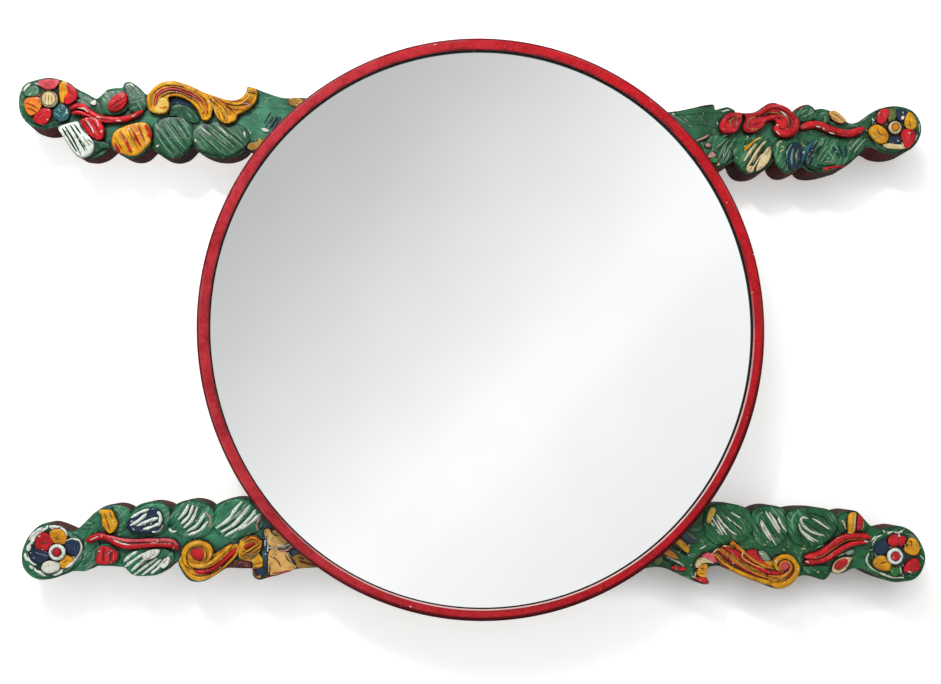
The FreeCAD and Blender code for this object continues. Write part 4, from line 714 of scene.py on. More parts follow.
# How finely a bar is rounded, and how many steps lie between its points
strap_detail = (4, 4)
ridge_detail = (1, 3)

# Edges that turn by more degrees than this stay sharp, and points closer than this in metres are one
form_edge = 38
plate_edge = 50
bar_edge = 50
rail_edge = 40
hoop_edge = 35
bar_weld = 0.000005
hoop_weld = 0.00001


def curve_between(before, start, end, after, share):
    """A point on the smooth curve through four neighbouring points."""
    squared = share * share
    cubed = squared * share
    bend = (before * 2 - start * 5 + end * 4 - after) * squared
    turn = (start * 3 - before - end * 3 + after) * cubed
    return (start * 2 + (end - before) * share + bend + turn) / 2


def smooth_closed(row, steps):
    """A closed outline as a smooth curve through its points."""
    around = [Vector(point) for point in pairs(row)]
    count = len(around)
    made = []
    for n in range(count):
        four = [around[(n + k) % count] for k in (-1, 0, 1, 2)]
        made += [curve_between(*four, step / steps) for step in range(steps)]
    return made


def smooth_open(row, steps):
    """A line as a smooth curve through its points."""
    along = [Vector(point) for point in pairs(row)]
    ended = [along[0] * 2 - along[1]] + along + [along[-1] * 2 - along[-2]]
    made = []
    for n in range(len(along) - 1):
        made += [curve_between(*ended[n:n + 4], step / steps) for step in range(steps)]
    return made + [along[-1]]


def pick_none():
    bpy.ops.object.select_all(action="DESELECT")


def pick_only(thing):
    pick_none()
    thing.select_set(True)
    bpy.context.view_layer.objects.active = thing


def settle(thing, name):
    """Puts a piece's place into its mesh and names it."""
    pick_only(thing)
    bpy.ops.object.transform_apply(location=True, rotation=True, scale=True)
    thing.name = name
    thing.data.name = name
    return thing


def start_shaping(part="FACE"):
    """Opens the picked piece for shaping, with all of it selected."""
    bpy.ops.object.mode_set(mode="EDIT")
    bpy.ops.mesh.select_mode(type=part)
    bpy.ops.mesh.select_all(action="SELECT")


def end_shaping():
    """Turns all faces of the shaped piece outward and closes it."""
    bpy.ops.mesh.select_all(action="SELECT")
    bpy.ops.mesh.normals_make_consistent(inside=False)
    bpy.ops.object.mode_set(mode="OBJECT")


def shade(thing, edge):
    """Shades a piece smooth, but for its sharp edges."""
    pick_only(thing)
    bpy.ops.object.shade_smooth_by_angle(angle=math.radians(edge))


def pull_forward(distance):
    """Draws the selected faces out towards the viewer."""
    bpy.ops.mesh.extrude_region_move(TRANSFORM_OT_translate={"value": (0, -distance, 0)})


def mark_rise(thing, height):
    """Stores how far each point stands up from the rail's front, for the painted shade low on the forms."""
    rise = thing.data.attributes.new("rise", "FLOAT", "POINT")
    for spot, vertex in zip(rise.data, thing.data.vertices):
        spot.value = max(0.0, min(1.0, (-vertex.co.y - rail_front_depth) / height))


def flat_blank(outline, depth, name):
    """A flat face with the given outline, facing the viewer, open for shaping."""
    pick_none()
    bpy.ops.mesh.primitive_circle_add(
        vertices=len(outline), radius=1, fill_type="NGON", rotation=(math.pi / 2, 0, 0),
    )
    blank = settle(bpy.context.object, name)
    for vertex, spot in zip(blank.data.vertices, outline):
        vertex.co = (spot.x, -depth, spot.z)
    start_shaping()
    return blank


def carved_form(name, height_mm, row, shares=petal_shares, growth=1.0):
    """A raised, rounded form on the rail's front."""
    height = height_mm / 1000
    level = rail_front_depth + height * traced_level_share
    line = smooth_closed(row, fine_steps)
    middle = sum(line, Vector((0, 0))) / len(line)
    line = [middle + (spot - middle) * growth for spot in line]
    outline = [seen_at(spot.x, spot.y, level) for spot in line]
    form = flat_blank(outline, rail_front_depth - seat_depth, name)
    centre = sum(outline, Vector()) / len(outline)
    reached, size = -seat_depth, 1.0
    for rise_share, next_size in shares:
        pull_forward(height * rise_share - reached)
        bpy.ops.transform.resize(value=(next_size / size, 1, next_size / size), center_override=centre)
        reached, size = height * rise_share, next_size
    bpy.ops.mesh.poke()
    end_shaping()
    shade(form, form_edge)
    mark_rise(form, height)
    return form


def carved_plate(name, height_mm, row):
    """A raised form with a nearly flat top and a softened edge, for long or hooked outlines."""
    height = height_mm / 1000
    level = rail_front_depth + height * traced_level_share
    outline = [seen_at(spot.x, spot.y, level) for spot in smooth_closed(row, coarse_steps)]
    plate = flat_blank(outline, rail_front_depth - seat_depth, name)
    reached = -seat_depth
    for rise_share, inward in plate_steps:
        pull_forward(height * rise_share - reached)
        bpy.ops.mesh.inset(thickness=inward, depth=0)
        reached = height * rise_share
    end_shaping()
    shade(plate, plate_edge)
    mark_rise(plate, height)
    return plate


def lean(lobe, outward):
    """Sinks a lobe into the ground on its inner side, so that it stands up only along the rail's edge."""
    levels = [vertex.co.z for vertex in lobe.data.vertices]
    low, high = min(levels), max(levels)
    for vertex in lobe.data.vertices:
        share = (vertex.co.z - low) / (high - low)
        out_share = share if outward > 0 else 1 - share
        kept = inner_share + (1 - inner_share) * min(1, out_share / lean_reach_share)
        risen = -vertex.co.y - rail_front_depth
        if risen > 0:
            vertex.co.y = -(rail_front_depth + risen * kept)


def round_bars(name, runs, sides, turns):
    """Round bars of changing thickness, each along its own line, closed at both ends."""
    pick_none()
    bpy.ops.curve.primitive_nurbs_path_add()
    bars = bpy.context.object
    shape = bars.data
    shape.splines.clear()
    for spots, radii in runs:
        run = shape.splines.new("NURBS")
        run.points.add(len(spots) - 1)
        for point, spot, radius in zip(run.points, spots, radii):
            point.co = (*spot, 1)
            point.radius = radius
        run.order_u = 3
        run.use_endpoint_u = True
        run.resolution_u = turns
    shape.bevel_depth = 1.0
    shape.bevel_resolution = sides
    shape.use_fill_caps = True
    bpy.ops.object.convert(target="MESH")
    bars = settle(bpy.context.object, name)
    start_shaping()
    bpy.ops.mesh.remove_doubles(threshold=bar_weld)
    end_shaping()
    shade(bars, bar_edge)
    return bars


def strap_run(height_mm, widths, row):
    """The middle line and the radii of a rounded strap that lies on the rail's front."""
    line = smooth_open(row, coarse_steps)
    radii = []
    for n in range(len(line)):
        share = n / (len(line) - 1) * 2
        ends = widths[:2] if share <= 1 else widths[1:]
        radii.append((ends[0] + (ends[1] - ends[0]) * (share % 1 if share < 2 else 1)) / 2 * pixel_size)
    depth = rail_front_depth + height_mm / 1000
    spots = [seen_at(spot.x, spot.y, depth - radius) for spot, radius in zip(line, radii)]
    radii[0] *= tip_share
    radii[-1] *= tip_share
    return spots, radii


def carved_ground(pieces):
    """The carved surfaces as one body to lay ridges on."""
    corners, faces = [], []
    for piece in pieces:
        base = len(corners)
        corners += [vertex.co.copy() for vertex in piece.data.vertices]
        faces += [[base + n for n in face.vertices] for face in piece.data.polygons]
    return BVHTree.FromPolygons(corners, faces)


def ridge_run(width, row, ground):
    """The line and the radii of a slim painted ridge that follows the carving under it."""
    line = smooth_open(row, fine_steps)
    spots, radii = [], []
    for n, spot in enumerate(line):
        hit = ground.ray_cast(eye, sight(spot.x, spot.y).normalized())[0]
        if hit is None or -hit.y < rail_front_depth - seat_depth:
            continue
        from_tip = min(n, len(line) - 1 - n) / (len(line) - 1)
        waves = [strength * math.sin(n * turn + start) for (strength, turn), start in zip(ridge_waves, row)]
        radius = width / 2 * pixel_size * min(1, tip_share + tip_growth * from_tip) * (1 + sum(waves))
        spots.append(hit + Vector((0, radius * ridge_sink_share, 0)))
        radii.append(radius)
    return spots, radii


def joined(pieces, name):
    """Several forms of one paint as one piece."""
    pick_only(pieces[0])
    for piece in pieces:
        piece.select_set(True)
    if len(pieces) > 1:
        bpy.ops.object.join()
    pieces[0].name = name
    pieces[0].data.name = name
    return pieces[0]


# Painted shade and dirt in creases: how open a crease is where they are full and where they end, and
# their ragged edge
crease_limits = (0.58, 0.91)
crease_ragged = (-0.12, 0.12)
# Painted shade by a form's rise: full at its foot, gone near its top, and thin on the ridges
foot_limits = (0.25, 0.82)
foot_strength = 0.95
ridge_shade = 0.12


# Colours and materials
def srgb(code):
    """An sRGB hex colour as linear light."""
    parts = [int(code[n:n + 2], 16) / 255 for n in (1, 3, 5)]
    levels = [part / 12.92 if part <= 0.04045 else ((part + 0.055) / 1.055) ** 2.4 for part in parts]
    return (*levels, 1)


def add_node(tree, kind, links=None, **settings):
    """Adds a node; each of its links is a node, a node's output or a plain value."""
    node = tree.nodes.new(kind)
    for key, value in settings.items():
        setattr(node, key, value)
    for key, value in (links or {}).items():
        if isinstance(value, bpy.types.Node):
            value = next(output for output in value.outputs if output.enabled)
        if isinstance(value, bpy.types.NodeSocket):
            tree.links.new(value, node.inputs[key])
        else:
            node.inputs[key].default_value = value
    return node


def new_material(name):
    """A material with a plain shader, and the piece's own coordinates for its patterns."""
    material = bpy.data.materials.new(name)
    material.use_nodes = True
    tree = material.node_tree
    tree.nodes.clear()
    shader = add_node(tree, "ShaderNodeBsdfPrincipled")
    add_node(tree, "ShaderNodeOutputMaterial", {"Surface": shader})
    return material, tree, shader, add_node(tree, "ShaderNodeTexCoord").outputs["Object"]


def mottle(tree, place, size_mm, limits, results=(0.0, 1.0), detail=3):
    """Soft lumps about size_mm across: limits of the noise, and what they become."""
    lumps = add_node(tree, "ShaderNodeTexNoise", {"Vector": place, "Scale": 1000 / size_mm, "Detail": detail})
    links = {"Value": lumps, "From Min": limits[0], "From Max": limits[1]}
    return add_node(tree, "ShaderNodeMapRange", {**links, "To Min": results[0], "To Max": results[1]})


def laid_coats(tree, under, *coats):
    """A coat with others laid over it in turn: each coat a hex colour or a node, with the share it covers."""
    for share, over in coats:
        both = [srgb(coat) if isinstance(coat, str) else coat for coat in (under, over)]
        under = add_node(tree, "ShaderNodeMix", {0: share, 6: both[0], 7: both[1]}, data_type="RGBA")
    return under


def hairlines(tree, place, size_mm, width, limits):
    """Thin wandering lines, such as cracks, in the patches where another noise is between limits."""
    waves = add_node(tree, "ShaderNodeTexNoise", {"Vector": place, "Scale": 1000 / size_mm, "Detail": 2})
    middle = add_node(tree, "ShaderNodeMath", {0: waves, 1: 0.5}, operation="SUBTRACT")
    away = add_node(tree, "ShaderNodeMath", {0: middle}, operation="ABSOLUTE")
    spread = {"Value": away, "From Min": 0, "From Max": width, "To Min": 1, "To Max": 0}
    line = add_node(tree, "ShaderNodeMapRange", spread)
    patches = mottle(tree, place, size_mm * 1.7, limits)
    return add_node(tree, "ShaderNodeMath", {0: line, 1: patches}, operation="MULTIPLY")


def crease_shade_and_dirt(tree, place, reach_mm, ragged_mm):
    """Painted shade and dirt in the creases between the forms, with a ragged edge."""
    ragged = mottle(tree, place, ragged_mm, (0.3, 0.7), crease_ragged)
    crease = add_node(tree, "ShaderNodeAmbientOcclusion", {"Distance": reach_mm / 1000}, samples=6)
    uneven = add_node(tree, "ShaderNodeMath", {0: crease.outputs["AO"], 1: ragged}, operation="ADD")
    limits = {"Value": uneven, "From Min": crease_limits[0], "From Max": crease_limits[1]}
    return add_node(tree, "ShaderNodeMapRange", {**limits, "To Min": 1, "To Max": 0})


def finish_surface(tree, shader, coat, roughness, relief, strength, distance_mm):
    """Joins a colour, a roughness and a relief to the shader."""
    bump = add_node(
        tree, "ShaderNodeBump", {"Strength": strength, "Distance": distance_mm / 1000, "Height": relief},
    )
    for key, node in (("Base Color", coat), ("Roughness", roughness), ("Normal", bump)):
        output = next(output for output in node.outputs if output.enabled)
        tree.links.new(output, shader.inputs[key])


# Gloss paint brushed by hand on carved wood: thick coats, painted shade in the hollows and low on the
# forms, small chips to the ground coat
def carving_paint(name, light, deep):
    material, tree, shader, place = new_material(name)
    shader.inputs["Specular IOR Level"].default_value = 0.30
    chips = mottle(tree, place, 5, (0.672, 0.690), detail=5)
    # Painted shade low on each form, full at its foot
    rise = add_node(tree, "ShaderNodeAttribute", attribute_name="rise").outputs["Fac"]
    limits = {"Value": rise, "From Min": foot_limits[0], "From Max": foot_limits[1]}
    foot_shade = add_node(tree, "ShaderNodeMapRange", {**limits, "To Min": foot_strength, "To Max": 0})
    limits = {"Value": rise, "From Min": 1.0, "From Max": ridge_rise}
    stroke = add_node(tree, "ShaderNodeMapRange", {**limits, "To Min": 1, "To Max": ridge_shade})
    # Painted shade and dirt in the creases, kept light on the ridges
    crease_shading = crease_shade_and_dirt(tree, place, 5, 4)
    shaded_creases = add_node(tree, "ShaderNodeMath", {0: crease_shading, 1: stroke}, operation="MULTIPLY")
    coat = laid_coats(
        tree, light,
        (mottle(tree, place, 14, (0.35, 0.65)), deep),
        (mottle(tree, place, 2.5, (0.3, 0.75), (0, 0.40)), deep),
        (chips, "#CFC6AE"),
        (hairlines(tree, place, 7, 0.022, (0.42, 0.56)), "#24120E"),
        (foot_shade, "#17100D"),
        (shaded_creases, "#17100D"),
    )
    rough = mottle(tree, place, 3, (0.3, 0.7), (0.10, 0.26))
    lumps = mottle(tree, place, 1.8, (0, 1))
    relief = add_node(tree, "ShaderNodeMath", {0: lumps, 1: chips}, operation="SUBTRACT")
    finish_surface(tree, shader, coat, rough, relief, 0.55, 0.8)
    return material


# Green ground paint on the rails: lighter on the left and darker to the right, with brush marks, rubbed
# and chipped in places
def ground_paint(name, left, far_right, deep_left, deep_right):
    material, tree, shader, place = new_material(name)
    shader.inputs["Specular IOR Level"].default_value = 0.24
    across = add_node(tree, "ShaderNodeSeparateXYZ", {0: place}).outputs["X"]
    side = add_node(tree, "ShaderNodeMapRange", {"Value": across, "From Min": -0.3, "From Max": 0.3})
    slanted = {"Vector": place, "Rotation": (0, 0.84, 0), "Scale": (0.35, 1, 1.6)}
    brushed = add_node(tree, "ShaderNodeMapping", slanted)
    streaks = mottle(tree, brushed, 5, (0.45, 0.72), (0, 0.45))
    deep = laid_coats(tree, deep_left, (side, deep_right))
    coat = laid_coats(
        tree, left,
        (side, far_right),
        (mottle(tree, place, 30, (0.38, 0.66), detail=4), deep),
        (streaks, deep),
        (mottle(tree, brushed, 9, (0.62, 0.70), (0, 0.40), 5), "#8FA693"),
        (mottle(tree, place, 7, (0.70, 0.72), detail=6), "#C9B9A0"),
        (mottle(tree, brushed, 12, (0.60, 0.72), (0, 0.85), 4), "#1B2A1E"),
        (hairlines(tree, brushed, 8, 0.012, (0.45, 0.6)), "#12180F"),
        (hairlines(tree, place, 11, 0.006, (0.50, 0.62)), "#B7C2B0"),
        # Painted shade and dirt in the creases
        (crease_shade_and_dirt(tree, place, 7, 5), "#10170F"),
    )
    rough = mottle(tree, place, 4, (0.3, 0.7), (0.20, 0.38))
    lumps = mottle(tree, place, 2.2, (0, 1))
    relief = add_node(tree, "ShaderNodeMath", {0: lumps, 1: streaks}, operation="ADD")
    finish_surface(tree, shader, coat, rough, relief, 0.4, 0.6)
    return material


# The same green on the lobes, dragged with a nearly dry brush: fine pale and dark slanting strokes
def lobe_paint(name, light, deep, slant):
    material, tree, shader, place = new_material(name)
    shader.inputs["Specular IOR Level"].default_value = 0.24
    slanted = {"Vector": place, "Rotation": (0, slant, 0), "Scale": (8, 1, 1)}
    dragged = add_node(tree, "ShaderNodeMapping", slanted, vector_type="TEXTURE")
    chips = mottle(tree, place, 7, (0.70, 0.72), detail=6)
    coat = laid_coats(
        tree, light,
        (mottle(tree, place, 22, (0.38, 0.66), detail=4), deep),
        (mottle(tree, dragged, 4.0, (0.55, 0.66), (0, 0.42)), "#8FAE93"),
        (mottle(tree, dragged, 2.6, (0.55, 0.64), (0, 0.80)), "#14261A"),
        (chips, "#C9C2A8"),
        # Painted shade and dirt in the creases
        (crease_shade_and_dirt(tree, place, 7, 5), "#10170F"),
    )
    rough = mottle(tree, place, 4, (0.3, 0.7), (0.20, 0.38))
    strokes = mottle(tree, dragged, 2.6, (0.2, 0.8))
    relief = add_node(tree, "ShaderNodeMath", {0: strokes, 1: chips}, operation="SUBTRACT")
    finish_surface(tree, shader, coat, rough, relief, 0.5, 0.7)
    return material


# Old maroon and brown paint on the timber's sides, nearly black where dirt has settled, with small chips
def side_paint():
    material, tree, shader, place = new_material("maroon_side_paint")
    shader.inputs["Specular IOR Level"].default_value = 0.1
    coat = laid_coats(
        tree, "#26150E",
        (mottle(tree, place, 70, (0.4, 0.6), detail=2), "#561D1C"),
        (mottle(tree, place, 9, (0.45, 0.8), (0, 0.6), 4), "#120D0A"),
        (mottle(tree, place, 6, (0.68, 0.71), detail=5), "#6E4A3C"),
    )
    rough = mottle(tree, place, 5, (0.3, 0.7), (0.38, 0.60))
    finish_surface(tree, shader, coat, rough, mottle(tree, place, 3, (0, 1)), 0.3, 0.8)
    return material


# Bare aged softwood on the rails' backs: grain lines a few millimetres apart along the rail, and stains
def aged_softwood():
    material, tree, shader, place = new_material("aged_softwood")
    drawn = add_node(tree, "ShaderNodeMapping", {"Vector": place, "Scale": (0.06, 1, 1)})
    grain = mottle(tree, drawn, 3, (0.35, 0.65), detail=5)
    stains = mottle(tree, place, 60, (0.45, 0.7), (0, 0.55), 4)
    coat = laid_coats(tree, "#A07A52", (grain, "#6E4C2F"), (stains, "#54402D"))
    rough = mottle(tree, drawn, 3, (0.35, 0.65), (0.62, 0.78))
    finish_surface(tree, shader, coat, rough, grain, 0.3, 0.5)
    return material


# Birch plywood: long pale grain on its face, and plies 1.5 mm thick along its edge
def birch_plywood():
    material, tree, shader, place = new_material("birch_plywood")
    drawn = add_node(tree, "ShaderNodeMapping", {"Vector": place, "Scale": (1, 1, 0.05)})
    grain = mottle(tree, drawn, 5, (0.35, 0.7), detail=4)
    face = laid_coats(tree, "#C9A777", (grain, "#A98354"))
    depth = add_node(tree, "ShaderNodeSeparateXYZ", {0: place}).outputs["Y"]
    ply = add_node(tree, "ShaderNodeMath", {0: depth, 1: 0.0015}, operation="PINGPONG")
    dark_ply = add_node(tree, "ShaderNodeMapRange", {"Value": ply, "From Min": 0.0005, "From Max": 0.0010})
    edge = laid_coats(tree, "#7C5A36", (dark_ply, "#C7A271"))
    normal = add_node(tree, "ShaderNodeNewGeometry").outputs["Normal"]
    facing = add_node(tree, "ShaderNodeSeparateXYZ", {0: normal}).outputs["Y"]
    flatness = add_node(tree, "ShaderNodeMath", {0: facing}, operation="ABSOLUTE")
    on_face = add_node(tree, "ShaderNodeMapRange", {"Value": flatness, "From Min": 0.4, "From Max": 0.6})
    coat = laid_coats(tree, edge, (on_face, face))
    finish_surface(tree, shader, coat, mottle(tree, drawn, 5, (0.3, 0.7), (0.55, 0.70)), grain, 0.2, 0.3)
    return material


# Painted shade, a painted highlight and wear across the hoop's face: where each begins and where it is
# full, as shares of the hoop's half width from its middle, its strength, its colour, and where round the
# hoop it shows. The dark band on the low side and the thin dark line all round are painted shade on the
# rounded outer edge, and the pale line on the low side is a painted highlight on the inner chamfer.
hoop_bands = (
    (0.986, 0.994, 0.50, "#D07A7E", "rubbed patches"),
    (0.983, 0.988, 0.95, "#440409", "low side"),
    (0.9900, 0.9935, 0.85, "#4A0A0E", "all round"),
    (0.971, 0.9655, 0.65, "#6A2426", "smudges"),
    (0.9635, 0.9620, 0.85, "#E6C4BE", "low side"),
)
hoop_low_direction = (0.45, 0, -0.9)
hoop_low_limits = (0.10, 0.30)
hoop_left_limits = (0.2, -0.3)

# Dark red past the hoop's rounded edge, and nearly black on the inner side of its opening: where each begins
# and where it is full, as depths in metres, and for inside_opening as shares of the half width
past_rounding = (-0.0738, -0.071)
past_rounding_strength = 0.92
past_chamfer = (-0.0750, -0.0747)
inside_opening = (0.9660, 0.9650)


# Red gloss paint on the bent wood hoop: an even coat, paler and pinker towards the left, rubbed pale at
# its outer edge, with painted shade and a painted highlight at its edges, and a few small chips
def hoop_gloss():
    material, tree, shader, place = new_material("red_hoop_gloss")
    shader.inputs["Specular IOR Level"].default_value = 0.12
    ways = add_node(tree, "ShaderNodeSeparateXYZ", {0: place})
    # The coat turns paler and pinker towards the left
    across = {"Value": ways.outputs["X"], "From Min": hoop_left_limits[0], "From Max": hoop_left_limits[1]}
    towards_left = add_node(tree, "ShaderNodeMapRange", across)
    left_coat = laid_coats(tree, "#B83039", (mottle(tree, place, 40, (0.35, 0.65)), "#A0222A"))
    coat = laid_coats(
        tree, "#C4101C",
        (mottle(tree, place, 55, (0.35, 0.65)), "#A80E18"),
        (towards_left, left_coat),
        (mottle(tree, place, 3, (0.4, 0.75), (0, 0.25)), "#C8525A"),
        (mottle(tree, place, 9, (0.52, 0.7), (0, 0.5), 4), "#8A1018"),
    )
    scale = (1 / hoop_half_width, 0, 1 / hoop_half_height)
    rounded = add_node(tree, "ShaderNodeVectorMath", {0: place, 1: scale}, operation="MULTIPLY")
    distance = add_node(tree, "ShaderNodeVectorMath", {0: rounded}, operation="LENGTH").outputs["Value"]
    low = add_node(tree, "ShaderNodeVectorMath", {0: place, 1: hoop_low_direction}, operation="DOT_PRODUCT")
    lowness = {"Value": low.outputs["Value"], "From Min": hoop_low_limits[0], "From Max": hoop_low_limits[1]}
    spots = {
        "low side": add_node(tree, "ShaderNodeMapRange", lowness),
        "rubbed patches": mottle(tree, place, 45, (0.48, 0.66), detail=6),
        "smudges": mottle(tree, place, 38, (0.46, 0.60), detail=5),
        "all round": 1.0,
    }
    for begins, full, strength, colour, where in hoop_bands:
        limits = {"Value": distance, "From Min": begins, "From Max": full}
        band = add_node(tree, "ShaderNodeMapRange", {**limits, "To Max": strength})
        shown = add_node(tree, "ShaderNodeMath", {0: band, 1: spots[where]}, operation="MULTIPLY")
        coat = laid_coats(tree, coat, (shown, colour))
    depth = ways.outputs["Y"]
    limits = {"Value": depth, "From Min": past_rounding[0], "From Max": past_rounding[1]}
    wall_side = add_node(tree, "ShaderNodeMapRange", {**limits, "To Max": past_rounding_strength})
    limits = {"Value": distance, "From Min": inside_opening[0], "From Max": inside_opening[1]}
    near_glass = add_node(tree, "ShaderNodeMapRange", limits)
    limits = {"Value": depth, "From Min": past_chamfer[0], "From Max": past_chamfer[1]}
    behind_edge = add_node(tree, "ShaderNodeMapRange", limits)
    inside_wall = add_node(tree, "ShaderNodeMath", {0: near_glass, 1: behind_edge}, operation="MULTIPLY")
    chips = mottle(tree, place, 6, (0.735, 0.745), detail=5)
    coat = laid_coats(
        tree, coat,
        (wall_side, "#4E0B0F"),
        (inside_wall, "#140A0A"),
        (chips, "#E6D8C4"),
        (mottle(tree, place, 3, (0.735, 0.75), detail=5), "#3A0D0F"),
    )
    lumps = mottle(tree, place, 6, (0, 1))
    relief = add_node(tree, "ShaderNodeMath", {0: lumps, 1: chips}, operation="SUBTRACT")
    finish_surface(tree, shader, coat, mottle(tree, place, 8, (0.3, 0.7), (0.24, 0.38)), relief, 0.15, 0.4)
    return material


# Silvered float glass: a bright mirror, clean but for the faintest film
def silvered_glass():
    material, tree, shader, place = new_material("silvered_glass")
    shader.inputs["Metallic"].default_value = 1.0
    coat = laid_coats(tree, "#F8F9F9", (mottle(tree, place, 200, (0.3, 0.7), detail=2), "#F3F5F4"))
    film = mottle(tree, place, 120, (0.3, 0.7), (0.015, 0.030), 2)
    tree.links.new(coat.outputs[2], shader.inputs["Base Color"])
    tree.links.new(film.outputs[0], shader.inputs["Roughness"])
    return material


# Zinc-plated steel: pale grey with small spangles and a soft shine
def zinc_steel():
    material, tree, shader, place = new_material("zinc_plated_steel")
    shader.inputs["Metallic"].default_value = 1.0
    spangle = mottle(tree, place, 2, (0.35, 0.65))
    coat = laid_coats(tree, "#C9C8C2", (spangle, "#9D9C95"))
    finish_surface(tree, shader, coat, mottle(tree, place, 1.5, (0.3, 0.7), (0.28, 0.45)), spangle, 0.05, 0.1)
    return material


# Matt stuffs, each with a fine grain of its own: moulded rubber, black edging and foam sheet
def matt_stuff(name, light, deep, roughness, grain_mm):
    material, tree, shader, place = new_material(name)
    grain = mottle(tree, place, grain_mm, (0.3, 0.7))
    rough = mottle(tree, place, grain_mm, (0.3, 0.7), (roughness - 0.08, roughness + 0.08))
    finish_surface(tree, shader, laid_coats(tree, light, (grain, deep)), rough, grain, 0.25, 0.2)
    return material


# Each paint of the carving, where it is light and where it is deep
paint_colours = {
    "red": ("#DE1F29", "#A30E17"),
    "crimson": ("#A3161C", "#7C0D12"),
    "rose": ("#D9616A", "#C23A44"),
    "pink": ("#CFA095", "#B57F76"),
    "orange": ("#F0962A", "#DC6E16"),
    "amber": ("#D98A1C", "#C2701A"),
    "ochre": ("#F0B01A", "#C17D08"),
    "straw": ("#E6C765", "#D2AB45"),
    "brass": ("#C2953C", "#94692A"),
    "tan": ("#E8BE6E", "#C6924A"),
    "rust": ("#8C4420", "#6B3018"),
    "maroon": ("#541D1C", "#3A1413"),
    "cream": ("#E3D3A6", "#C9B37F"),
    "chalk": ("#E6E6DA", "#CDD0C2"),
    "white": ("#EFF3EC", "#D3DDD2"),
    "ash": ("#93A593", "#728873"),
    "sage": ("#5C8F70", "#3F6E52"),
    "mint": ("#7FB296", "#5B9577"),
    "moss": ("#6E8040", "#4F6030"),
    "leafgreen": ("#3C8A3F", "#256B31"),
    "pine": ("#173B28", "#10301F"),
    "teal": ("#2E6670", "#1F4B57"),
    "slate": ("#3D5363", "#2A3D4C"),
    "navy": ("#1B3552", "#12243B"),
}
paints = {name: carving_paint(name + "_gloss_paint", *colours) for name, colours in paint_colours.items()}


def dress(piece, slot, material, *nodes):
    """Gives a finished piece its material and the nodes it stands for; its slot is not used."""
    if material:
        piece.data.materials.clear()
        piece.data.materials.append(material)
    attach(piece, "frame")
    if nodes:
        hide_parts(*nodes)
    return piece


# The two rails, cut to their outlines, with their front edges rounded over: how far in each step of the
# rounding comes and how far forward, in metres
roll_steps = ((0.0003, 0.0007), (0.0005, 0.0004), (0.0006, 0.0002))
counterbore_depth = 0.014
counterbore_radius = 0.00475
counterbore_sides = 32
screw_half_width = 0.3945
screw_half_height = 0.4055
screw_levels = {"upper": (0.299784, 0.269784), "lower": (-0.306991, -0.276991)}
back_facing = 0.5
front_facing = 0.985
maroon_sides = side_paint()
bare_wood = aged_softwood()
green_lobes = {
    "upper_left": lobe_paint("upper_left_green_lobes", "#2F6244", "#214B34", 0.87),
    "upper_right": lobe_paint("upper_right_green_lobes", "#2E6B46", "#1E5032", -1.05),
    "lower_left": lobe_paint("lower_left_green_lobes", "#38805C", "#28634A", -0.80),
    "lower_right": lobe_paint("lower_right_green_lobes", "#246A3E", "#1A522F", 0.90),
}
green_grounds = {
    "upper": ground_paint("upper_green_ground", "#47876A", "#2E6A48", "#2A5E44", "#1D4A30"),
    "lower": ground_paint("lower_green_ground", "#3E8762", "#256B3E", "#27604A", "#184C2C"),
}

# The upper left arm's lobes slope in towards the wall, all in metres: how far they come in at the back,
# where along the rail, over what length the slope fades, and below which level
undercut = 0.005
undercut_start = -0.59
undercut_end = -0.305
undercut_fade = 0.025
undercut_level = 0.300


def slope_lobes(rail):
    """Moves the back of the upper left lobes in, under their fronts."""
    for corner in rail.data.vertices:
        at = corner.co
        if at.y > -rail_back_depth - seat_depth and at.z < undercut_level:
            along = min(at.x - undercut_start, undercut_end - at.x) / undercut_fade
            at.z += undercut * min(max(along, 0.0), 1.0)


def counterbore(rail, centre_x, level):
    """Cuts the hole for one screw's head into the back of a rail."""
    pick_none()
    middle_depth = rail_back_depth + counterbore_depth / 2 - seat_depth
    bpy.ops.mesh.primitive_cylinder_add(
        vertices=counterbore_sides, radius=counterbore_radius, depth=counterbore_depth + 2 * seat_depth,
        location=(centre_x, -middle_depth, level), rotation=(math.pi / 2, 0, 0),
    )
    cutter = settle(bpy.context.object, "cutter")
    pick_only(rail)
    cut = rail.modifiers.new("counterbore", "BOOLEAN")
    cut.operation = "DIFFERENCE"
    cut.object = cutter
    bpy.ops.object.modifier_apply(modifier=cut.name)
    bpy.data.objects.remove(cutter)


def carved_rail(side, left_row, right_row):
    """A solid timber cut to its outline, with its screw holes and its painted faces."""
    halves = [smooth_open(left_row, fine_steps), smooth_open(right_row, fine_steps)]
    backward = 0 if side == "lower" else 1
    halves[backward].reverse()
    outline = [seen_at(spot.x, spot.y, rail_front_depth) for spot in halves[0] + halves[1]]
    rail = flat_blank(outline, rail_back_depth, side + "_carved_rail")
    pull_forward(rail_front_depth - rail_back_depth - sum(step[1] for step in roll_steps))
    for inward, forward_step in roll_steps:
        pull_forward(forward_step)
        bpy.ops.mesh.inset(thickness=inward, depth=0)
    end_shaping()
    if side == "upper":
        slope_lobes(rail)
    for level in screw_levels[side]:
        reach = screw_half_width * math.sqrt(1 - (level / screw_half_height) ** 2)
        counterbore(rail, -reach, level)
        counterbore(rail, reach, level)
    rail.data.materials.clear()
    for material in (green_grounds[side], maroon_sides, bare_wood):
        rail.data.materials.append(material)
    for face in rail.data.polygons:
        if face.normal.y > back_facing:
            face.material_index = 2
        elif abs(face.normal.y) < front_facing:
            face.material_index = 1
    shade(rail, rail_edge)
    return rail


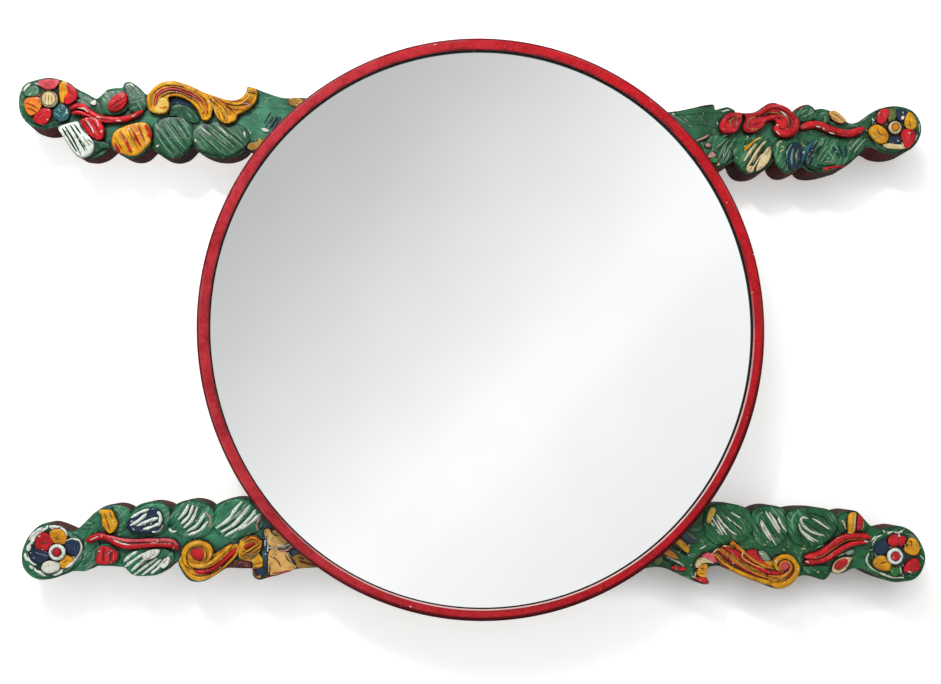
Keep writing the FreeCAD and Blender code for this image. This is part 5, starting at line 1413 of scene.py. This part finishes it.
carving = {
    "upper_left": (
        upper_left_lobes, upper_left_plates, upper_left_petals, upper_left_leaves,
        upper_left_scroll_forms, upper_left_stem_bands, upper_left_scroll_bands, upper_left_lines,
    ),
    "upper_right": (
        upper_right_lobes, upper_right_plates, upper_right_petals, upper_right_leaves,
        upper_right_scroll_forms, upper_right_stem_bands, upper_right_scroll_bands, upper_right_lines,
    ),
    "lower_left": (
        lower_left_lobes, lower_left_plates, lower_left_petals, lower_left_leaves,
        lower_left_scroll_forms, lower_left_stem_bands, lower_left_scroll_bands, lower_left_lines,
    ),
    "lower_right": (
        lower_right_lobes, lower_right_plates, lower_right_petals, lower_right_leaves,
        lower_right_scroll_forms, lower_right_stem_bands, lower_right_scroll_bands, lower_right_lines,
    ),
}
rails = {
    "upper": carved_rail("upper", upper_left_edge, upper_right_edge),
    "lower": carved_rail("lower", lower_left_edge, lower_right_edge),
}
kind_slots = {"petals": "petal_paint", "leaves": "leaf_paint", "stem": "stem_paint", "scroll": "scroll_paint"}

# A turned button's outline as shares of its height: at shares of its outer radius, and of its centre's
button_ring_shares = ((1.0, 0.70), (0.96, 0.84), (0.86, 0.93))
button_valley_share = 0.97
button_centre_shares = (
    (1.12, 0.92), (1.02, 0.84), (0.98, 0.90), (0.90, 0.98), (0.62, 1.0), (0.25, 0.985),
)
button_sides = 48


def by_paint(rows):
    """The rows of a table sorted by their paint."""
    sorted_rows = {}
    for row in rows:
        sorted_rows.setdefault(row[0], []).append(row[1:])
    return sorted_rows


def button(arm):
    """A rosette's turned button: a rounded ring with a raised disc in its middle."""
    px, py, radius_px, height_mm, ring_paint, centre_paint, centre_px = buttons[arm]
    height = height_mm / 1000
    centre = seen_at(px, py, rail_front_depth + height)
    radius = radius_px * pixel_size
    inner = centre_px * pixel_size
    profile = [(radius, -seat_depth)]
    profile += [(radius * width, height * rise) for width, rise in button_ring_shares]
    profile += [((radius + inner) / 2, height * button_valley_share)]
    profile += [(inner * width, height * rise) for width, rise in button_centre_shares]
    pick_none()
    bpy.ops.mesh.primitive_circle_add(
        vertices=button_sides, radius=radius, fill_type="NGON", rotation=(math.pi / 2, 0, 0),
        location=(centre.x, -rail_front_depth + seat_depth, centre.z),
    )
    knob = settle(bpy.context.object, arm + "_turned_button")
    start_shaping()
    for before, after in zip(profile, profile[1:]):
        pull_forward(after[1] - before[1])
        ratio = after[0] / before[0]
        bpy.ops.transform.resize(value=(ratio, 1, ratio), center_override=centre)
    end_shaping()
    knob.data.shade_smooth()
    mark_rise(knob, height)
    knob.data.materials.clear()
    knob.data.materials.append(paints[ring_paint])
    knob.data.materials.append(paints[centre_paint])
    for face in knob.data.polygons:
        if math.hypot(face.center.x - centre.x, face.center.z - centre.z) < inner:
            face.material_index = 1
    return knob


for arm, (lobes, plates, petals, leaves, scrolls, stem_bands, scroll_bands, lines) in carving.items():
    side = arm.split("_")[0]
    swells = []
    for height, row in lobes:
        if height > flat_lobe_height:
            swell = carved_form(arm + "_lobe", height * lobe_height_share, row, lobe_shares, lobe_growth)
            lean(swell, 1 if side == "lower" else -1)
        else:
            swell = carved_form(arm + "_lobe", height, row, lobe_shares)
        swells.append(swell)
    swelling = joined(swells, arm + "_rail_lobes")
    ground_pieces = [rails[side], dress(swelling, "rail_paint", green_lobes[arm])]
    for (kind, colour), forms in by_paint([(row[:2], *row[2:]) for row in plates]).items():
        made = [carved_plate(arm + "_form", height, row) for height, row in forms]
        piece = joined(made, "_".join((arm, kind, "plate", colour)))
        ground_pieces.append(dress(piece, kind_slots[kind], paints[colour], arm + "_" + kind))
    for kind, rows in (("petals", petals), ("leaves", leaves), ("scroll", scrolls)):
        growth = petal_growth if kind == "petals" else 1.0
        for colour, forms in by_paint(rows).items():
            made = [carved_form(arm + "_form", height, row, petal_shares, growth) for height, row in forms]
            piece = joined(made, "_".join((arm, kind, colour)))
            ground_pieces.append(dress(piece, kind_slots[kind], paints[colour], arm + "_" + kind))
    for kind, rows in (("stem", stem_bands), ("scroll", scroll_bands)):
        for colour, straps in by_paint(rows).items():
            runs = [strap_run(*strap) for strap in straps]
            piece = round_bars("_".join((arm, kind, "band", colour)), runs, *strap_detail)
            mark_rise(piece, max(strap[0] for strap in straps) / 1000)
            ground_pieces.append(dress(piece, kind_slots[kind], paints[colour], arm + "_" + kind))
    ground_pieces.append(dress(button(arm), "button_paint", None, arm + "_button"))
    ground = carved_ground(ground_pieces)
    for colour, strokes in by_paint(lines).items():
        runs = [ridge_run(width, row, ground) for width, group in strokes for row in group]
        runs = [run for run in runs if len(run[0]) > 2]
        if runs:
            piece = round_bars("_".join((arm, "ridges", colour)), runs, *ridge_detail)
            rise = piece.data.attributes.new("rise", "FLOAT", "POINT")
            for spot in rise.data:
                spot.value = ridge_rise
            dress(piece, "leaf_paint", paints[colour])

for side, rail in rails.items():
    dress(rail, "rail_paint", None, side + "_rail")

# The bent hoop, in half profile: how far in from its outside, and how far from the wall
hoop_round = 0.004
hoop_face_width = 0.017
hoop_wall_width = 0.011
hoop_chamfer = 0.0012
hoop_lip_thickness = 0.006
round_turns = 5
hoop_sides = 256


def hoop_profile():
    """Points round the hoop's section, from the back of its outside, over the front, to the back again."""
    line = [(0, board_front_depth)]
    for turn in range(round_turns + 1):
        angle = math.pi / 2 * turn / round_turns
        inward = hoop_round * (1 - math.cos(angle))
        line.append((inward, hoop_front_depth - hoop_round * (1 - math.sin(angle))))
    line += [
        (hoop_face_width - hoop_chamfer, hoop_front_depth),
        (hoop_face_width, hoop_front_depth - hoop_chamfer),
        (hoop_face_width, hoop_front_depth - hoop_lip_thickness),
        (hoop_wall_width, hoop_front_depth - hoop_lip_thickness),
        (hoop_wall_width, board_front_depth),
        (0, board_front_depth),
    ]
    return line


def bent_hoop():
    """The red hoop, drawn as an oval line and extruded round its section."""
    pick_none()
    bpy.ops.mesh.primitive_circle_add(
        vertices=hoop_sides, radius=hoop_half_width, fill_type="NOTHING", rotation=(math.pi / 2, 0, 0),
        location=(0, -board_front_depth, 0),
    )
    hoop = settle(bpy.context.object, "bent_hoop")
    start_shaping("EDGE")
    bpy.ops.transform.resize(value=(1, 1, hoop_half_height / hoop_half_width), center_override=(0, 0, 0))
    line = hoop_profile()
    for before, after in zip(line, line[1:]):
        bpy.ops.mesh.extrude_edges_move(TRANSFORM_OT_translate={"value": (0, before[1] - after[1], 0)})
        across = (hoop_half_width - after[0]) / (hoop_half_width - before[0])
        upright = (hoop_half_height - after[0]) / (hoop_half_height - before[0])
        bpy.ops.transform.resize(value=(across, 1, upright), center_override=(0, 0, 0))
    bpy.ops.mesh.select_all(action="SELECT")
    bpy.ops.mesh.remove_doubles(threshold=hoop_weld)
    end_shaping()
    shade(hoop, hoop_edge)
    return hoop


dress(bent_hoop(), "hoop_paint", hoop_gloss(), "hoop_frame")

# The parts that keep the shape of the solid model
plated_steel = zinc_steel()
kept_parts = {
    "mirror_glass": silvered_glass(),
    "edging_ring": matt_stuff("matt_black_edging", "#0A0A0A", "#050505", 0.6, 1.5),
    "glass_packing": matt_stuff("closed_cell_foam", "#D8D8D4", "#BDBDB8", 0.8, 1.0),
    "backing_board": birch_plywood(),
    "bumper_pads": matt_stuff("moulded_rubber", "#262626", "#191919", 0.7, 0.8),
    "board_screws": plated_steel,
    "frame_screws": plated_steel,
    "hanger_screws": plated_steel,
    "hanger_strap_left": plated_steel,
    "hanger_strap_right": plated_steel,
    "hanger_ring_left": plated_steel,
    "hanger_ring_right": plated_steel,
}
for name, material in kept_parts.items():
    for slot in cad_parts[name].material_slots:
        slot.material = material

# The wall behind and the floor below
wall_gap = 0.0005
wall_size = 9.0
floor_level = -1.3
contact_distance = 0.06

# To the eye the wall glows a little, so that its shadows stay pale. It glows more past the upper left arm,
# a painted light that pales the shadow there, and less close to the mirror: a painted shadow, within
# shade_reach metres on the side away from the light, deepest towards the lower right.
wall_glow = 0.50
upper_left_glow = 0.61
upper_left_direction = (-1, 0, 0.6)
upper_left_limits = (0.35, 0.62)
shade_reach = 0.055
darkest_opening = 0.35
towards_light = (-0.1, -0.5, 0.8)
lower_right_direction = (0.6, 0, -0.8)
lower_right_limits = (-0.2, 0.5)


def wall_glow_strength(tree, place):
    """How strongly each place on the wall glows to the eye, with a painted shadow close to the mirror."""
    heights, depths = [
        add_node(tree, "ShaderNodeVectorMath", {0: place, 1: way}, operation="DOT_PRODUCT").outputs["Value"]
        for way in (upper_left_direction, lower_right_direction)
    ]
    limits = {"Value": heights, "From Min": upper_left_limits[0], "From Max": upper_left_limits[1]}
    full = add_node(tree, "ShaderNodeMapRange", {**limits, "To Min": wall_glow, "To Max": upper_left_glow})
    lean_up = add_node(tree, "ShaderNodeVectorMath", {0: towards_light}, operation="NORMALIZE")
    reach = {"Distance": shade_reach, "Normal": lean_up}
    opening = add_node(tree, "ShaderNodeAmbientOcclusion", reach, samples=16).outputs["AO"]
    limits = {"Value": depths, "From Min": lower_right_limits[0], "From Max": lower_right_limits[1]}
    least = add_node(tree, "ShaderNodeMapRange", {**limits, "To Min": 1.0, "To Max": 0.0})
    limits = {"Value": opening, "From Min": darkest_opening, "From Max": 1.0}
    share = add_node(tree, "ShaderNodeMapRange", {**limits, "To Min": least, "To Max": 1.0})
    return add_node(tree, "ShaderNodeMath", {0: share, 1: full}, operation="MULTIPLY")


def white_wall():
    """A matt white wall, seen through from behind, and open to stray light close behind the mirror."""
    material = bpy.data.materials.new("matt_white_wall")
    material.use_nodes = True
    tree = material.node_tree
    tree.nodes.clear()
    place = add_node(tree, "ShaderNodeTexCoord").outputs["Object"]
    coat = laid_coats(tree, "#E9E9E8", (mottle(tree, place, 25, (0.3, 0.7)), "#E6E6E5"))
    matt = add_node(tree, "ShaderNodeBsdfDiffuse", {"Color": coat})
    path = add_node(tree, "ShaderNodeLightPath").outputs
    glow = wall_glow_strength(tree, place)
    seen_glow = add_node(tree, "ShaderNodeMath", {0: path["Is Camera Ray"], 1: glow}, operation="MULTIPLY")
    glowing = add_node(tree, "ShaderNodeEmission", {"Strength": seen_glow})
    lit = add_node(tree, "ShaderNodeAddShader", {0: matt, 1: glowing})
    lengths = {0: path["Ray Length"], 1: contact_distance}
    nearby = add_node(tree, "ShaderNodeMath", lengths, operation="LESS_THAN")
    stray = add_node(tree, "ShaderNodeMath", {0: 1.0, 1: path["Is Camera Ray"]}, operation="SUBTRACT")
    close_by = add_node(tree, "ShaderNodeMath", {0: nearby, 1: stray}, operation="MULTIPLY")
    behind = add_node(tree, "ShaderNodeNewGeometry").outputs["Backfacing"]
    open_share = add_node(tree, "ShaderNodeMath", {0: close_by, 1: behind}, operation="MAXIMUM")
    clear = add_node(tree, "ShaderNodeBsdfTransparent")
    seen = add_node(tree, "ShaderNodeMixShader", {0: open_share, 1: lit, 2: clear})
    add_node(tree, "ShaderNodeOutputMaterial", {"Surface": seen})
    return material


def plain_floor():
    """A pale matt floor that reflections pass through, so that the glass shows only the pale room."""
    material, tree, shader, place = new_material("pale_matt_floor")
    coat = laid_coats(tree, "#E6E6E4", (mottle(tree, place, 40, (0.3, 0.7)), "#E2E2E0"))
    finish_surface(tree, shader, coat, mottle(tree, place, 30, (0.3, 0.7), (0.7, 0.8)), coat, 0.02, 0.2)
    path = add_node(tree, "ShaderNodeLightPath")
    clear = add_node(tree, "ShaderNodeBsdfTransparent")
    seen = add_node(tree, "ShaderNodeMixShader", {0: path.outputs["Is Glossy Ray"], 1: shader, 2: clear})
    add_node(tree, "ShaderNodeOutputMaterial", {"Surface": seen}, is_active_output=True)
    return material


pick_none()
bpy.ops.mesh.primitive_plane_add(size=wall_size, location=(0, wall_gap, 0), rotation=(math.pi / 2, 0, 0))
wall = settle(bpy.context.object, "plain_wall")
wall.data.materials.append(white_wall())
pick_none()
bpy.ops.mesh.primitive_plane_add(size=wall_size, location=(0, wall_gap - wall_size / 2, floor_level))
floor = settle(bpy.context.object, "plain_floor")
floor.data.materials.append(plain_floor())

# The room: even soft light, a white surround to the eye, and what the glass and the gloss show. The tones
# run along a slope across the room, from minus to plus tone_reach, and show in rays that go nearly forward.
room_light = 0.52
reflection_strength = 1.10
tone_reach = 0.3
tone_slope = (0.726, 0, -0.688)
reflection_tones = (
    (-0.30, "#B8B8B8"), (-0.24, "#C0C0C0"), (-0.18, "#CBCBCB"), (-0.12, "#DADADA"), (-0.06, "#E7E7E7"),
    (-0.02, "#F0F0F0"), (0.03, "#FAFAFA"), (0.073, "#FAFAFA"), (0.10, "#F5F5F5"), (0.14, "#F1F1F1"),
    (0.21, "#EBEBEB"),
)
tone_cone = (-0.74, -0.87)
low_tone = "#666666"
high_tone = "#A6A6A6"
height_limits = (-0.5, 0.6)
pure_white = (1, 1, 1, 1)

world = bpy.data.worlds.new("pale_room")
bpy.context.scene.world = world
world.use_nodes = True
room = world.node_tree
room.nodes.clear()
heading = add_node(room, "ShaderNodeTexCoord").outputs["Generated"]
slant = add_node(room, "ShaderNodeVectorMath", {0: heading, 1: tone_slope}, operation="DOT_PRODUCT")
limits = {"Value": slant.outputs["Value"], "From Min": -tone_reach, "From Max": tone_reach}
tones = add_node(room, "ShaderNodeValToRGB", {"Fac": add_node(room, "ShaderNodeMapRange", limits)})
tones.color_ramp.elements[0].position = 0
tones.color_ramp.elements[0].color = srgb(reflection_tones[0][1])
tones.color_ramp.elements[1].color = srgb(reflection_tones[-1][1])
for level, tone in reflection_tones[1:]:
    tones.color_ramp.elements.new((level + tone_reach) / (2 * tone_reach)).color = srgb(tone)
ways = add_node(room, "ShaderNodeSeparateXYZ", {0: heading}).outputs
limits = {"Value": ways["Y"], "From Min": tone_cone[0], "From Max": tone_cone[1]}
in_front = add_node(room, "ShaderNodeMapRange", limits, interpolation_type="SMOOTHSTEP")
limits = {"Value": ways["Z"], "From Min": height_limits[0], "From Max": height_limits[1]}
skyward = add_node(room, "ShaderNodeMapRange", limits)
shown = laid_coats(room, low_tone, (skyward, high_tone), (in_front, tones.outputs["Color"]))
path = add_node(room, "ShaderNodeLightPath").outputs
eye_rays = {0: path["Is Camera Ray"], 1: path["Is Transmission Ray"]}
to_eye = add_node(room, "ShaderNodeMath", eye_rays, operation="MAXIMUM")
even = add_node(room, "ShaderNodeBackground", {"Color": pure_white, "Strength": room_light})
reflected = add_node(room, "ShaderNodeBackground", {"Color": shown, "Strength": reflection_strength})
white = add_node(room, "ShaderNodeBackground", {"Color": pure_white, "Strength": 1.0})
with_gloss = add_node(room, "ShaderNodeMixShader", {0: path["Is Glossy Ray"], 1: even, 2: reflected})
with_eye = add_node(room, "ShaderNodeMixShader", {0: to_eye, 1: with_gloss, 2: white})
add_node(room, "ShaderNodeOutputWorld", {"Surface": with_eye})

# Lamps above and to the left of the viewer: name, place, disc size in metres, watts, and whether the gloss
# shows it. The large one shapes the forms and the small one gives the gloss its sparkle.
lamps = (
    ("large_soft_lamp", Vector((-0.85, -1.7, 2.1)), 1.3, 38, False),
    ("small_bright_lamp", Vector((-0.9, -1.5, 1.5)), 0.2, 18, True),
)
for name, place, size, watts, glints in lamps:
    bpy.ops.object.light_add(type="AREA", location=place)
    lamp = bpy.context.object
    lamp.name = name
    lamp.data.shape = "DISK"
    lamp.data.size = size
    lamp.data.energy = watts
    lamp.visible_glossy = glints
    lamp.rotation_euler = (-place).to_track_quat("-Z", "Y").to_euler()

# The camera at the photograph's viewpoint
bpy.ops.object.camera_add(location=eye)
camera = bpy.context.object
camera.name = "photo_camera"
camera.matrix_world = Matrix.Translation(eye) @ Matrix((right, up, -forward)).transposed().to_4x4()
camera.data.sensor_width = sensor_width
camera.data.lens = focal_pixels / picture_width * sensor_width
camera.data.shift_x = -shift_right_pixels / picture_width
camera.data.shift_y = shift_down_pixels / picture_width
camera.data.clip_start = 0.01
bpy.context.scene.camera = camera
bpy.context.scene.view_settings.view_transform = "Standard"
